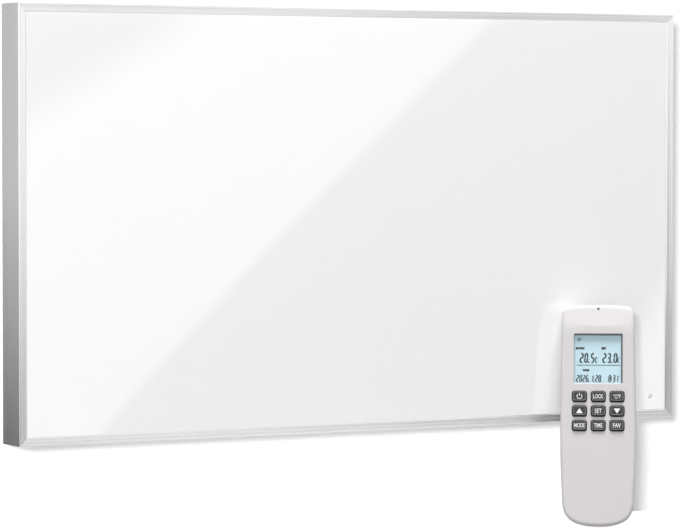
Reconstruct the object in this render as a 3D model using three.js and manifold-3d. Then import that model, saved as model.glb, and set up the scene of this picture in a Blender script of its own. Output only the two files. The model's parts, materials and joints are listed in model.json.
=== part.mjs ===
import * as THREE from 'three';
import { mergeVertices } from 'three/addons/utils/BufferGeometryUtils.js';
import Module from 'manifold-3d';

// Infrared panel heater: a glass-fronted heating panel in a mitred aluminium frame, hung on a wall rail,
// with its hand control leaning on the glass. Millimetres, X to the right, Y towards the wall, Z up. The
// origin is on the wall, in the middle of the wall rail's rear face.

const wasm = await Module();
wasm.setup();

const quarterTurn = Math.PI / 2;
const degree = Math.PI / 180;

// Fits
const clearance = 0.3; // between pieces that touch or nearly touch
const mitreGap = 0.2; // hairline left open at each mitre
const reach = 1; // how far a cutting tool runs past the face it cuts

// Panel, outside
const panelWidth = 662;
const panelHeight = 372;
const panelDepth = 34;
const wallGap = 26; // from the wall to the panel's back
const railDrop = 92; // from the panel's top edge down to the origin

// Frame section
const frameWall = 1.4;
const faceWidth = 7.5;
const lipThickness = 2;
const flangeWidth = 9;
const edgeChamfer = 0.5;
const beadWidth = 1.8;
const grooveWidth = 0.9;
const grooveDepth = 0.5;
const ridgeWidth = 0.9;
const stepDepth = 0.3;
const innerBevel = 1;

// Corner keys inside the mitres
const keyLeg = 28;
const keyThickness = 4.5;

// Glass and the heating layers behind it
const glassThickness = 4;
const glassCorner = 2;
const glassEdge = 0.4;
const sealWidth = 5.2;
const sealThickness = 1.5;
const filmThickness = 0.6;
const filmSlotCount = 9;
const filmSlotHeight = 5;
const filmEdge = 24;
const busbarWidth = 12;
const busbarThickness = 0.4;
const foilThickness = 0.5;
const plateThickness = 1.2;
const insulationSlack = 0.6;

// Status window and its receiver, in the lower right corner
const statusFromRight = 23.1;
const statusFromBottom = 19.3;
const statusRadius = 1.65;
const statusFlange = 0.8; // how far the light pipe's flange stands out all round
const statusFlangeDepth = 0.6;
const holderWidth = 36;
const holderHeight = 22;
const holderShift = 6; // the holder's middle lies this far inward of the window
const holderFloor = 1.5;
const holderRim = 1.5;
const holderDepth = 8;
const boardThickness = 1.6;
const notchMargin = 3; // free space that the layers leave round the holder

// Thermal cut-out in the insulation
const cutoutFromLeft = 211; // from the panel's left edge
const cutoutX = cutoutFromLeft - panelWidth / 2;
const cutoutZ = 20;
const cutoutRadius = 8;
const cutoutHeight = 6;
const cutoutCapRadius = 5;
const cutoutCapHeight = 3;

// Wall rail and hanger bracket, both bent from strip
const stripThickness = 2;
const railInset = 121; // from the panel's side to the rail's end
const railLength = panelWidth - 2 * railInset;
const railFoot = 25; // the rail reaches this far below the origin
const railWebTop = 4;
const railLipHeight = 12;
const railLipFront = 17; // from the wall to the front of the rail's lip
const hangerInset = 133; // from the panel's side to the bracket's end
const hangerLength = panelWidth - 2 * hangerInset;
const hangerFoot = 8;
const hangerScrewInset = 48; // from the bracket's end
const hangerScrewSpan = hangerLength - 2 * hangerScrewInset;
const railScrewInset = 40; // from the rail's end
const railScrewSpan = railLength - 2 * railScrewInset;
const railScrewDrop = 12;

// Screws
const smallScrew = { head: 2.9, rise: 1.9, shank: 1.5 };
const wallScrew = { head: 4.6, rise: 2.8, shank: 2.2 };
const wallScrewLength = 40;
const recessShare = 0.62; // the cross recess, as a share of the head's radius
const recessWidthShare = 0.24; // one slot's width, as a share of the head's radius
const plateScrewFromSide = 91;
const plateScrewSpan = panelWidth - 2 * plateScrewFromSide;
const plateScrewInset = 5.2;

// Rubber wall bumpers
const bumperRadius = 9;
const bumperTipRadius = 7;
const bumperStem = 3.5;
const bumperFromSide = 46;
const bumperSpan = panelWidth - 2 * bumperFromSide;
const bumperFromBottom = 28;

// Control box on the rear plate
const boxWidth = 130;
const boxHeight = 78;
const boxDepth = 18.4;
const boxWall = 2;
const boxCorner = 4;
const boxFromRight = 101; // from the panel's right edge to the box's right side
const boxX = panelWidth / 2 - boxFromRight - boxWidth / 2;
const boxFromBottom = 57; // from the panel's bottom edge up to the box's bottom
const boxCoverThickness = 2;
const wirePassWidth = 18;
const wirePassHeight = 10;
const postRadius = 3;
const postHeight = 1.4;
const boardEdge = 8; // from the box's inside wall to the control board
const relayWidth = 29;
const relayHeight = 12.6;
const relayDepth = 10.2;
const relayX = -30;
const relayZ = 12;
const terminalWidth = 30;
const terminalHeight = 14;
const terminalDepth = 10.5;
const terminalX = 26;
const terminalZ = -12;
const terminalPoles = 3;
const terminalWell = 2.4;
const terminalWellDepth = 3;

// Cord gland in the bottom wall of the box
const glandX = 26; // from the middle of the box
const glandBore = 3.6;
const glandNeck = 5.8;
const glandCollar = 7.6;
const glandCollarLength = 5;
const glandTip = 5.8;
const glandTipLength = 11;
const glandTaper = 1; // the tip is this much wider where it meets the collar
const glandNeckLength = 8;
const nutFlats = 14;
const nutLength = 4;
const hexSides = 6;

// Hand control, outside
const handsetHeight = 200;
const handsetWaistHalf = 34.2; // half width at the keys
const handsetHeadHalf = 32.4;
const handsetFootHalf = 32.3;
const handsetDepth = 24;
const handsetEdge = 3.4; // rounding of the front and rear edges
const handsetHeadRadius = 7.2;
const handsetHeadBow = 1;
const handsetFootRise = 22;
const handsetWaistLevel = -13;
const handsetFootFlat = 0.62; // share of the foot's half width that lies nearly flat
const handsetFootTurn = 0.975; // share of it reached where the foot turns upwards
const handsetFootPull = 0.2; // share of the foot's rise where it does so
const handsetHeadPull = 0.4; // how far the head's corners are pulled, as a share of their radius
const headSlopeLength = 19;
const headSlopeDrop = 4.2;
const shellWall = 2;

// Hand control, where it stands: turned and leaned so that its back rests on the glass at one corner
const handsetFromRight = 102.6; // from the panel's right edge to the hand control's middle
const handsetX = panelWidth / 2 - handsetFromRight;
const handsetZ = -273.2;
const handsetTurn = 33.5 * degree;
const handsetLean = 4.5 * degree;

// Display
const displayWidth = 43.7;
const displayHeight = 44.8;
const displayFromHead = 48.4; // from the head down to the display's middle
const displayMiddle = handsetHeight / 2 - displayFromHead;
const displayCorner = 0.8;
const displayLap = 1.5; // the window reaches this far under the shell
const windowThickness = 1;

// Keys
const keyColumns = 3;
const keyRows = 3;
const keyPitchX = 16.9;
const keyPitchY = 13.1;
const keysFromDisplay = 47.5; // from the display's middle down to the middle row
const keyMiddle = displayMiddle - keysFromDisplay;
const keyWidth = 13.1;
const keyHeight = 9.6;
const keyCorner = 2.2;
const keyRise = 1.8; // above the shell
const keyBevel = 0.9;
const keyFlange = 1;
const keyFlangeThickness = 1.2;
const keyTravel = 1;
const nubClearance = 0.2;
const nubRadius = 2.5;
const matThickness = 1;
const matEdge = 2;

// Circuit board of the hand control
const handsetBoardFront = 5.3; // level of its front face
const handsetBoardEdge = 4;
const boardFromHead = 12;
const boardFromFoot = 38;
const handsetBoardTop = handsetHeight / 2 - boardFromHead;
const handsetBoardBottom = boardFromFoot - handsetHeight / 2;
const shellPostRadius = 2;
const shellPostX = 24;
const shellPostFromHead = 20;
const shellPostFromFoot = 70;
const shellPostLevels = [handsetHeight / 2 - shellPostFromHead, shellPostFromFoot - handsetHeight / 2];

// Battery bay: two AAA cells side by side
const cellRadius = 5.25;
const cellLength = 44.5;
const cellNub = 1;
const cellNubRadius = 1.9;
const bayWall = 1.2;
const bayFromFoot = 56; // from the foot up to the bay's middle
const bayMiddle = bayFromFoot - handsetHeight / 2;
const contactThickness = 0.8;
const contactHeight = 8.6;
const contactSpring = 3;
const contactButton = 1;
const contactSpringFlare = 1; // the spring is this much wider at its plate
const coverWidth = 31;
const coverLap = 4; // the cover reaches this far past the bay at each end
const coverThickness = 1.6;
const coverCorner = 2.5;
const ledgeThickness = 1.8;
const ledgeWidth = 2;
const thumbRadius = 6;
const thumbDepth = 0.6;

// Infrared emitter in the head
const emitterRadius = 2.5;
const emitterLength = 11;
const emitterRecess = 0.2;
const emitterDomeTurn = 60 * degree; // how far up its round end the last ring lies

// How finely curves are drawn
const fineSides = 20; // sides of turned pieces
const plainSides = 12; // sides of small round bars
const circleArcs = 6; // arcs in a round hole
const arcSides = 3; // sides of each arc in an outline
const handsetArcSides = 5; // sides of each curve in the hand control's outline
const handsetEdgeSteps = 3;
const keyEdgeSteps = 2;
const mergeDistance = 1e-4;

// ------------------------------------------------------------------------------
// Levels that follow from the sizes above

const panelFrontY = -(wallGap + panelDepth);
const panelMiddleZ = railDrop - panelHeight / 2;

// Depths in the panel, counted from the frame's front face towards the wall
const glassFront = lipThickness + clearance;
const glassBack = glassFront + glassThickness;
const layerFront = glassBack + clearance;
const filmBack = layerFront + filmThickness;
const busbarFront = filmBack + clearance;
const busbarBack = busbarFront + busbarThickness;
const foilFront = busbarBack + clearance;
const foilBack = foilFront + foilThickness;
const insulationFront = foilBack + clearance;
const plateBack = panelDepth - frameWall - clearance;
const plateFront = plateBack - plateThickness;
const insulationBack = plateFront - insulationSlack;
const fitInset = frameWall + clearance; // from the outside of the frame to what is fitted into it
const layerInset = Math.max(fitInset + Math.max(sealWidth, keyThickness) + clearance, faceWidth);
const plateFromWall = wallGap + panelDepth - plateBack;

// Sizes of the layers
const fitWidth = panelWidth - 2 * fitInset;
const fitHeight = panelHeight - 2 * fitInset;
const layerWidth = panelWidth - 2 * layerInset;
const layerHeight = panelHeight - 2 * layerInset;
const statusX = panelWidth / 2 - statusFromRight;
const statusZ = -panelHeight / 2 + statusFromBottom;
const holderX = statusX - holderShift;
const notchLeft = holderX - holderWidth / 2 - notchMargin;
const notchTop = statusZ + holderHeight / 2 + notchMargin;

// Hooks: the hanger's lip drops behind the rail's lip
const railLipTop = railWebTop + railLipHeight;
const hangerLipBottom = railWebTop + clearance;
const hangerTop = railLipTop + clearance + stripThickness;
const hangerLipBack = railLipFront - stripThickness - clearance - stripThickness;
const hangerFront = plateFromWall - clearance;
const hangerScrewZ = (hangerTop - stripThickness - hangerFoot) / 2;

// Levels in the hand control, counted from its middle plane towards its face
const handsetFace = handsetDepth / 2;
const underFace = handsetFace - shellWall;
const windowBack = underFace - clearance - windowThickness;
const keyFlangeTop = underFace - clearance;
const keyFlangeBottom = keyFlangeTop - keyFlangeThickness;
const matBack = handsetBoardFront + clearance;
const matFront = matBack + matThickness;
const nubTop = keyFlangeBottom - keyTravel - nubClearance;
const coverInside = -handsetFace + coverThickness;
const cellMiddle = coverInside + clearance + cellRadius;
const bayFloor = cellMiddle + cellRadius + clearance;
const bayWidth = 4 * cellRadius + 3 * clearance;
const cellSpacing = 2 * cellRadius + clearance;
const bayLength = 4 * clearance + 2 * contactThickness + contactSpring + contactButton + cellLength;
const coverLength = bayLength + 2 * coverLap;
const partingGap = clearance / 2;

// ------------------------------------------------------------------------------
// Solids

function toSolid(geometry) {
  const plain = geometry.index ? geometry.toNonIndexed() : geometry.clone();
  plain.deleteAttribute('normal');
  plain.deleteAttribute('uv');
  const merged = mergeVertices(plain, mergeDistance);
  const mesh = new wasm.Mesh({
    numProp: 3,
    vertProperties: merged.attributes.position.array,
    triVerts: new Uint32Array(merged.index.array),
  });
  return new wasm.Manifold(mesh);
}

function toGeometry(solid) {
  const mesh = solid.getMesh();
  const geometry = new THREE.BufferGeometry();
  geometry.setAttribute('position', new THREE.BufferAttribute(new Float32Array(mesh.vertProperties), 3));
  geometry.setIndex(new THREE.BufferAttribute(new Uint32Array(mesh.triVerts), 1));
  const flat = geometry.toNonIndexed();
  flat.computeVertexNormals();
  return flat;
}

// The geometry joined with each geometry in added, then with each geometry in removed cut away.
function shaped(base, added, removed) {
  let solid = toSolid(base);
  for (const piece of added) solid = solid.add(toSolid(piece));
  for (const piece of removed) solid = solid.subtract(toSolid(piece));
  return toGeometry(solid);
}

function common(first, second) {
  return toGeometry(toSolid(first).intersect(toSolid(second)));
}

// A box between two corners.
function box(low, high) {
  const size = new THREE.Vector3(...high).sub(new THREE.Vector3(...low));
  const middle = new THREE.Vector3(...high).add(new THREE.Vector3(...low)).multiplyScalar(1 / 2);
  return new THREE.BoxGeometry(size.x, size.y, size.z).translate(middle.x, middle.y, middle.z);
}

// A rectangle with round corners about (x, y).
function roundedRectangle(width, height, radius, x = 0, y = 0, Kind = THREE.Shape) {
  const right = x + width / 2 - radius;
  const left = x - width / 2 + radius;
  const top = y + height / 2 - radius;
  const bottom = y - height / 2 + radius;
  const outline = new Kind();
  outline.absarc(right, bottom, radius, -quarterTurn, 0);
  outline.absarc(right, top, radius, 0, quarterTurn);
  outline.absarc(left, top, radius, quarterTurn, 2 * quarterTurn);
  outline.absarc(left, bottom, radius, 2 * quarterTurn, 3 * quarterTurn);
  outline.closePath();
  return outline;
}

function rectangle(left, bottom, right, top) {
  const outline = new THREE.Path();
  outline.moveTo(left, bottom);
  outline.lineTo(right, bottom);
  outline.lineTo(right, top);
  outline.lineTo(left, top);
  outline.closePath();
  return outline;
}

function circle(radius, x, y) {
  const outline = new THREE.Path();
  const step = (4 * quarterTurn) / circleArcs;
  for (let arc = 0; arc < circleArcs; arc += 1) outline.absarc(x, y, radius, arc * step, (arc + 1) * step);
  return outline;
}

// An outline carried along Z from low to high, its edges rounded by bevel.
function extruded(shape, low, high, bevel = 0, bevelSegments = 1, curveSegments = arcSides) {
  const geometry = new THREE.ExtrudeGeometry(shape, {
    depth: high - low - 2 * bevel,
    bevelEnabled: bevel > 0,
    bevelThickness: bevel,
    bevelSize: bevel,
    bevelOffset: -bevel,
    bevelSegments,
    curveSegments,
  });
  return geometry.translate(0, 0, low + bevel);
}

// An upright slab of the panel: an outline in X and Z, carried along Y from its front to its back.
function slab(shape, front, back, bevel = 0) {
  return extruded(shape, -back, -front, bevel).rotateX(quarterTurn);
}

// A strip section drawn as distance from the wall and height, carried along X.
function strip(points, length) {
  const section = new THREE.Shape(points.map(([fromWall, z]) => new THREE.Vector2(-fromWall, z)));
  const axes = new THREE.Matrix4().makeBasis(
    new THREE.Vector3(0, 1, 0),
    new THREE.Vector3(0, 0, 1),
    new THREE.Vector3(1, 0, 0),
  );
  return extruded(section, -length / 2, length / 2).applyMatrix4(axes);
}

// A turned piece about Y, from a profile of [radius, height] that runs upwards on the outside.
function turned(points, sides = fineSides) {
  const profile = points.map(([radius, height]) => new THREE.Vector2(radius, height));
  return new THREE.LatheGeometry(profile, sides);
}

// A round bar about Y between two heights.
function bar(radius, low, high, sides = plainSides) {
  return turned([[0, low], [radius, low], [radius, high], [0, high]], sides);
}

// A bar about Y at a place in X and Z, for holes through upright plates.
function barAt(radius, x, z, low, high) {
  return bar(radius, low, high).translate(x, 0, z);
}

const root = new THREE.Group();
const panel = new THREE.Group();
panel.position.set(0, panelFrontY, panelMiddleZ);
const handset = new THREE.Group();
root.add(panel, handset);

function finish(color, roughness, metalness) {
  return new THREE.MeshStandardMaterial({ color, roughness, metalness });
}

function place(group, name, geometry, material, x = 0, y = 0, z = 0) {
  const mesh = new THREE.Mesh(geometry, material);
  mesh.name = name;
  mesh.position.set(x, y, z);
  group.add(mesh);
  return mesh;
}

// A cross-head screw about Y: the head rises from height 0, and the shank reaches down to -length.
function screw(size, length) {
  const { head, rise, shank } = size;
  const tip = shank / 2;
  const profile = [[0, -length], [tip, -length], [shank, -length + tip], [shank, 0], [head, 0]];
  profile.push([head, rise / 2], [head * recessShare, rise], [0, rise]);
  const arm = head * recessShare;
  const half = (head * recessWidthShare) / 2;
  const floor = rise / 2;
  const recess = [
    box([-arm, floor, -half], [arm, rise + reach, half]),
    box([-half, floor, -arm], [half, rise + reach, arm]),
  ];
  return shaped(turned(profile, plainSides), [], recess);
}

// ------------------------------------------------------------------------------
// Frame

const aluminium = finish(0xc9cacd, 0.35, 1);

// The bar's section: X runs inward from the outside face, Y runs back from the front face.
function frameSection() {
  const ridgeEnd = beadWidth + grooveWidth + ridgeWidth;
  const section = new THREE.Shape();
  section.moveTo(0, edgeChamfer);
  section.lineTo(edgeChamfer, 0);
  section.lineTo(beadWidth, 0);
  section.lineTo(beadWidth + grooveWidth / 2, grooveDepth);
  section.lineTo(beadWidth + grooveWidth, 0);
  section.lineTo(ridgeEnd, 0);
  section.lineTo(ridgeEnd + stepDepth, stepDepth);
  section.lineTo(faceWidth - innerBevel, stepDepth);
  section.lineTo(faceWidth, stepDepth + innerBevel);
  section.lineTo(faceWidth, lipThickness);
  section.lineTo(frameWall, lipThickness);
  section.lineTo(frameWall, panelDepth - frameWall);
  section.lineTo(flangeWidth, panelDepth - frameWall);
  section.lineTo(flangeWidth, panelDepth);
  section.lineTo(edgeChamfer, panelDepth);
  section.lineTo(0, panelDepth - edgeChamfer);
  section.closePath();
  return section;
}

// A bar along Z with both ends cut at 45 degrees: each point is drawn in by its distance from the outside face.
function mitredBar(length) {
  const geometry = extruded(frameSection(), -length / 2, length / 2);
  const points = geometry.getAttribute('position');
  for (let i = 0; i < points.count; i += 1) {
    const end = Math.sign(points.getZ(i));
    points.setZ(i, end * (length / 2 - points.getX(i) - mitreGap / 2));
  }
  return geometry;
}

// Holes for the screws that hold the rear plate to the bar's rear flange.
function plateScrewHoles() {
  const radius = smallScrew.shank + clearance;
  const low = panelDepth - frameWall - reach;
  return [-1, 1].map((side) => {
    return barAt(radius, plateScrewInset, (side * plateScrewSpan) / 2, low, panelDepth + reach);
  });
}

const frameSides = [
  { name: 'left', x: -1, z: 0, length: panelHeight, screwed: false },
  { name: 'top', x: 0, z: 1, length: panelWidth, screwed: true },
  { name: 'right', x: 1, z: 0, length: panelHeight, screwed: false },
  { name: 'bottom', x: 0, z: -1, length: panelWidth, screwed: true },
];
frameSides.forEach((side, turn) => {
  const bare = mitredBar(side.length);
  const geometry = side.screwed ? shaped(bare, [], plateScrewHoles()) : bare;
  const x = (side.x * panelWidth) / 2;
  const z = (side.z * panelHeight) / 2;
  const mesh = place(panel, `frame_${side.name}`, geometry, aluminium, x, 0, z);
  mesh.rotation.y = turn * quarterTurn;
});

// A corner key is an L that lies in the channels of two bars.
function cornerKey() {
  const near = fitInset;
  const far = fitInset + keyThickness;
  const end = fitInset + keyLeg;
  const outline = new THREE.Shape();
  outline.moveTo(near, near);
  outline.lineTo(end, near);
  outline.lineTo(end, far);
  outline.lineTo(far, far);
  outline.lineTo(far, end);
  outline.lineTo(near, end);
  outline.closePath();
  return slab(outline, layerFront + sealThickness + clearance, plateFront - clearance);
}

const corners = [
  { name: 'bottom_left', x: -1, z: -1 },
  { name: 'top_left', x: -1, z: 1 },
  { name: 'top_right', x: 1, z: 1 },
  { name: 'bottom_right', x: 1, z: -1 },
];
const zinc = finish(0xa9abad, 0.5, 1);
corners.forEach((corner, turn) => {
  const x = (corner.x * panelWidth) / 2;
  const z = (corner.z * panelHeight) / 2;
  const mesh = place(panel, `corner_key_${corner.name}`, cornerKey(), zinc, x, 0, z);
  mesh.rotation.y = turn * quarterTurn;
});

// ------------------------------------------------------------------------------
// Glass, and the layers between it and the rear plate

function glassFrontPlate() {
  const outline = roundedRectangle(fitWidth, fitHeight, glassCorner);
  outline.holes.push(circle(statusRadius + clearance, statusX, statusZ));
  return slab(outline, glassFront, glassBack, glassEdge);
}
place(panel, 'glass_front', glassFrontPlate(), finish(0xf1f1f2, 0.05, 0));

function glassSeal() {
  const outline = roundedRectangle(fitWidth, fitHeight, glassCorner);
  const innerWidth = fitWidth - 2 * sealWidth;
  const innerHeight = fitHeight - 2 * sealWidth;
  outline.holes.push(roundedRectangle(innerWidth, innerHeight, glassCorner, 0, 0, THREE.Path));
  return slab(outline, layerFront, layerFront + sealThickness);
}
place(panel, 'glass_seal', glassSeal(), finish(0x3a3a3c, 0.8, 0));

// A layer covers the panel's inside except for the corner where the receiver sits.
function layerOutline() {
  const right = layerWidth / 2;
  const top = layerHeight / 2;
  const outline = new THREE.Shape();
  outline.moveTo(-right, -top);
  outline.lineTo(notchLeft, -top);
  outline.lineTo(notchLeft, notchTop);
  outline.lineTo(right, notchTop);
  outline.lineTo(right, top);
  outline.lineTo(-right, top);
  outline.closePath();
  return outline;
}

// The film's heating strips lie between rows of slots, and its two edges carry the busbars.
function heatingFilm() {
  const outline = layerOutline();
  const pitch = layerHeight / (filmSlotCount + 1);
  const half = filmSlotHeight / 2;
  const left = -layerWidth / 2 + filmEdge;
  for (let row = 1; row <= filmSlotCount; row += 1) {
    const z = -layerHeight / 2 + row * pitch;
    const besideNotch = z - half - filmSlotHeight < notchTop;
    const right = (besideNotch ? notchLeft : layerWidth / 2) - filmEdge;
    outline.holes.push(rectangle(left, z - half, right, z + half));
  }
  return slab(outline, layerFront, filmBack);
}
place(panel, 'heating_film', heatingFilm(), finish(0x1d1d1f, 0.6, 0));

function busbar(x, bottom) {
  const top = layerHeight / 2 - clearance;
  return box([x - busbarWidth / 2, busbarFront, bottom], [x + busbarWidth / 2, busbarBack, top]);
}
const copper = finish(0xb87333, 0.35, 1);
const busbarX = layerWidth / 2 - filmEdge / 2;
place(panel, 'busbar_left', busbar(-busbarX, -layerHeight / 2 + clearance), copper);
place(panel, 'busbar_right', busbar(busbarX, notchTop + clearance), copper);

place(panel, 'reflective_foil', slab(layerOutline(), foilFront, foilBack), finish(0xd9dadc, 0.15, 1));

function insulationBoard() {
  const outline = layerOutline();
  outline.holes.push(circle(cutoutRadius + clearance, cutoutX, cutoutZ));
  return slab(outline, insulationFront, insulationBack);
}
place(panel, 'insulation_board', insulationBoard(), finish(0xd8cfae, 0.95, 0));

function thermalCutout() {
  const profile = [[0, 0], [cutoutRadius, 0], [cutoutRadius, cutoutHeight], [cutoutCapRadius, cutoutHeight]];
  profile.push([cutoutCapRadius, cutoutHeight + cutoutCapHeight], [0, cutoutHeight + cutoutCapHeight]);
  return turned(profile);
}
place(panel, 'thermal_cutout', thermalCutout(), finish(0x2b2b2d, 0.6, 0), cutoutX, insulationFront, cutoutZ);

// ------------------------------------------------------------------------------
// Receiver behind the status window

const boardGreen = finish(0x1f5a3a, 0.5, 0);
const holderBack = layerFront + holderFloor;
const pipeFlangeFront = holderBack - statusFlangeDepth;

function receiverHolder() {
  const half = new THREE.Vector2(holderWidth / 2, holderHeight / 2);
  const whole = box([-half.x, layerFront, -half.y], [half.x, layerFront + holderDepth, half.y]);
  const innerX = half.x - holderRim;
  const innerZ = half.y - holderRim;
  const hollow = box([-innerX, holderBack, -innerZ], [innerX, layerFront + holderDepth + reach, innerZ]);
  const pipeHole = barAt(statusRadius + clearance, holderShift, 0, layerFront - reach, holderBack + reach);
  const seatRadius = statusRadius + statusFlange + clearance;
  const seat = barAt(seatRadius, holderShift, 0, pipeFlangeFront - clearance, holderBack + reach);
  return shaped(whole, [], [hollow, pipeHole, seat]);
}
place(panel, 'receiver_holder', receiverHolder(), finish(0x2f3033, 0.7, 0), holderX, 0, statusZ);

function receiverBoard() {
  const halfX = holderWidth / 2 - holderRim - clearance;
  const halfZ = holderHeight / 2 - holderRim - clearance;
  const front = holderBack + clearance;
  const board = box([-halfX, front, -halfZ], [halfX, front + boardThickness, halfZ]);
  const chipX = halfX / 2;
  const chipZ = halfZ / 2;
  const chipBack = layerFront + holderDepth - clearance;
  const chip = box([-chipX, front + boardThickness / 2, -chipZ], [0, chipBack, chipZ]);
  return shaped(board, [chip], []);
}
place(panel, 'receiver_board', receiverBoard(), boardGreen, holderX, 0, statusZ);

// The light pipe fills the hole in the glass and ends in a flange that the holder traps.
function statusLens() {
  const flangeRadius = statusRadius + statusFlange;
  const profile = [[0, glassFront], [statusRadius, glassFront], [statusRadius, pipeFlangeFront]];
  profile.push([flangeRadius, pipeFlangeFront], [flangeRadius, holderBack], [0, holderBack]);
  return turned(profile);
}
place(panel, 'status_lens', statusLens(), finish(0xc4c7ca, 0.1, 0), statusX, 0, statusZ);

// ------------------------------------------------------------------------------
// Rear plate, bumpers and plate screws

const sheetSteel = finish(0xb9bcbf, 0.45, 1);
const boxZ = -panelHeight / 2 + boxFromBottom + boxHeight / 2;
const bumperZ = -panelHeight / 2 + bumperFromBottom;
const sides = [
  { name: 'left', x: -1 },
  { name: 'right', x: 1 },
];
const screwHole = smallScrew.shank + clearance;

function rearPlate() {
  const outline = roundedRectangle(fitWidth, fitHeight, glassCorner);
  const screwZ = panelHeight / 2 - plateScrewInset;
  const hangerZ = hangerScrewZ - panelMiddleZ;
  for (const { x } of sides) {
    outline.holes.push(circle(screwHole, (x * plateScrewSpan) / 2, screwZ));
    outline.holes.push(circle(screwHole, (x * plateScrewSpan) / 2, -screwZ));
    outline.holes.push(circle(screwHole, (x * hangerScrewSpan) / 2, hangerZ));
    outline.holes.push(circle(bumperStem + clearance, (x * bumperSpan) / 2, bumperZ));
  }
  outline.holes.push(roundedRectangle(wirePassWidth, wirePassHeight, glassCorner, boxX, boxZ, THREE.Path));
  return slab(outline, plateFront, plateBack);
}
place(panel, 'rear_plate', rearPlate(), sheetSteel);

// A bumper's foot meets the wall, and its stem plugs into the rear plate.
function wallBumper() {
  const length = plateFromWall - clearance;
  const rim = bumperRadius - bumperTipRadius;
  const profile = [[0, -clearance - plateThickness], [bumperStem, -clearance - plateThickness]];
  profile.push([bumperStem, 0], [bumperRadius, 0], [bumperTipRadius, length - rim]);
  profile.push([bumperTipRadius - rim / 2, length], [0, length]);
  return turned(profile);
}
const bumperY = plateBack + clearance;
const rubber = finish(0x222224, 0.8, 0);
for (const { name, x } of sides) {
  place(panel, `wall_bumper_${name}`, wallBumper(), rubber, (x * bumperSpan) / 2, bumperY, bumperZ);
}

const screwSteel = finish(0x9b9da0, 0.35, 1);
const plateScrewGeometry = screw(smallScrew, panelDepth + clearance - plateFront);
for (const corner of corners) {
  const x = (corner.x * plateScrewSpan) / 2;
  const z = corner.z * (panelHeight / 2 - plateScrewInset);
  place(panel, `plate_screw_${corner.name}`, plateScrewGeometry, screwSteel, x, panelDepth + clearance, z);
}

// ------------------------------------------------------------------------------
// Wall rail and hanger bracket

function wallRail() {
  const web = railWebTop - stripThickness;
  const lipBack = railLipFront - stripThickness;
  const section = [[0, -railFoot], [stripThickness, -railFoot], [stripThickness, web], [railLipFront, web]];
  section.push([railLipFront, railLipTop], [lipBack, railLipTop], [lipBack, railWebTop], [0, railWebTop]);
  const holes = sides.map(({ x }) => {
    const radius = wallScrew.shank + clearance;
    return barAt(radius, (x * railScrewSpan) / 2, -railScrewDrop, -stripThickness - reach, reach);
  });
  return shaped(strip(section, railLength), [], holes);
}
place(root, 'wall_rail', wallRail(), sheetSteel);

const wallScrewGeometry = screw(wallScrew, wallScrewLength);
for (const { name, x } of sides) {
  const y = -stripThickness - clearance;
  const screwX = (x * railScrewSpan) / 2;
  const mesh = place(root, `wall_screw_${name}`, wallScrewGeometry, screwSteel, screwX, y, -railScrewDrop);
  mesh.rotation.z = 2 * quarterTurn;
}

// The hanger is screwed to the rear plate, and its lip hangs behind the rail's lip.
function hangerBracket() {
  const back = hangerFront - stripThickness;
  const lipFront = hangerLipBack + stripThickness;
  const web = hangerTop - stripThickness;
  const section = [[hangerFront, -hangerFoot], [hangerFront, hangerTop], [hangerLipBack, hangerTop]];
  section.push([hangerLipBack, hangerLipBottom], [lipFront, hangerLipBottom], [lipFront, web]);
  section.push([back, web], [back, -hangerFoot]);
  const holes = sides.map(({ x }) => {
    return barAt(screwHole, (x * hangerScrewSpan) / 2, hangerScrewZ, -hangerFront - reach, -back + reach);
  });
  return shaped(strip(section, hangerLength), [], holes);
}
place(root, 'hanger_bracket', hangerBracket(), sheetSteel);

const hangerScrewLength = stripThickness + 2 * clearance + plateThickness;
const hangerScrewGeometry = screw(smallScrew, hangerScrewLength);
for (const { name, x } of sides) {
  const screwX = (x * hangerScrewSpan) / 2;
  const screwY = -hangerFront + stripThickness + clearance;
  place(root, `hanger_screw_${name}`, hangerScrewGeometry, screwSteel, screwX, screwY, hangerScrewZ);
}

// ------------------------------------------------------------------------------
// Control box on the rear plate. Its own Y counts from the box's floor towards the wall.

const darkPlastic = finish(0x2f3033, 0.6, 0);
const controls = new THREE.Group();
controls.position.set(boxX, plateBack + clearance, boxZ);
panel.add(controls);
const boardY = boxWall + postHeight + clearance;
const partsY = boardY + boardThickness + clearance;
const glandY = (boxWall + boxDepth) / 2;

function boxRectangle(inset, Kind) {
  return roundedRectangle(boxWidth - 2 * inset, boxHeight - 2 * inset, boxCorner - inset / 2, 0, 0, Kind);
}

function controlBox() {
  const posts = [];
  for (const { x, z } of corners) {
    const postX = x * (boxWidth / 2 - boxWall - boardEdge - postRadius);
    const postZ = z * (boxHeight / 2 - boxWall - boardEdge - postRadius);
    posts.push(barAt(postRadius, postX, postZ, boxWall / 2, boxWall + postHeight));
  }
  const hollow = slab(boxRectangle(boxWall), boxWall, boxDepth + reach);
  const pass = slab(roundedRectangle(wirePassWidth, wirePassHeight, glassCorner), -reach, boxWall + reach);
  const neck = glandHole(glandNeck + clearance);
  const solid = toSolid(slab(boxRectangle(0), 0, boxDepth)).subtract(toSolid(hollow));
  const walls = toGeometry(solid);
  return shaped(walls, posts, [pass, neck]);
}

// The hole for the gland runs down through the bottom wall.
function glandHole(radius) {
  const bottom = -boxHeight / 2;
  const hole = bar(radius, bottom - reach, bottom + boxWall + reach);
  return hole.rotateX(quarterTurn).translate(glandX, glandY, 0);
}
place(controls, 'control_box', controlBox(), darkPlastic);

const coverFront = boxDepth + clearance;
const boxCoverShape = slab(boxRectangle(0), coverFront, coverFront + boxCoverThickness, boxCoverThickness / 4);
place(controls, 'control_box_cover', boxCoverShape, darkPlastic);

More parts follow.
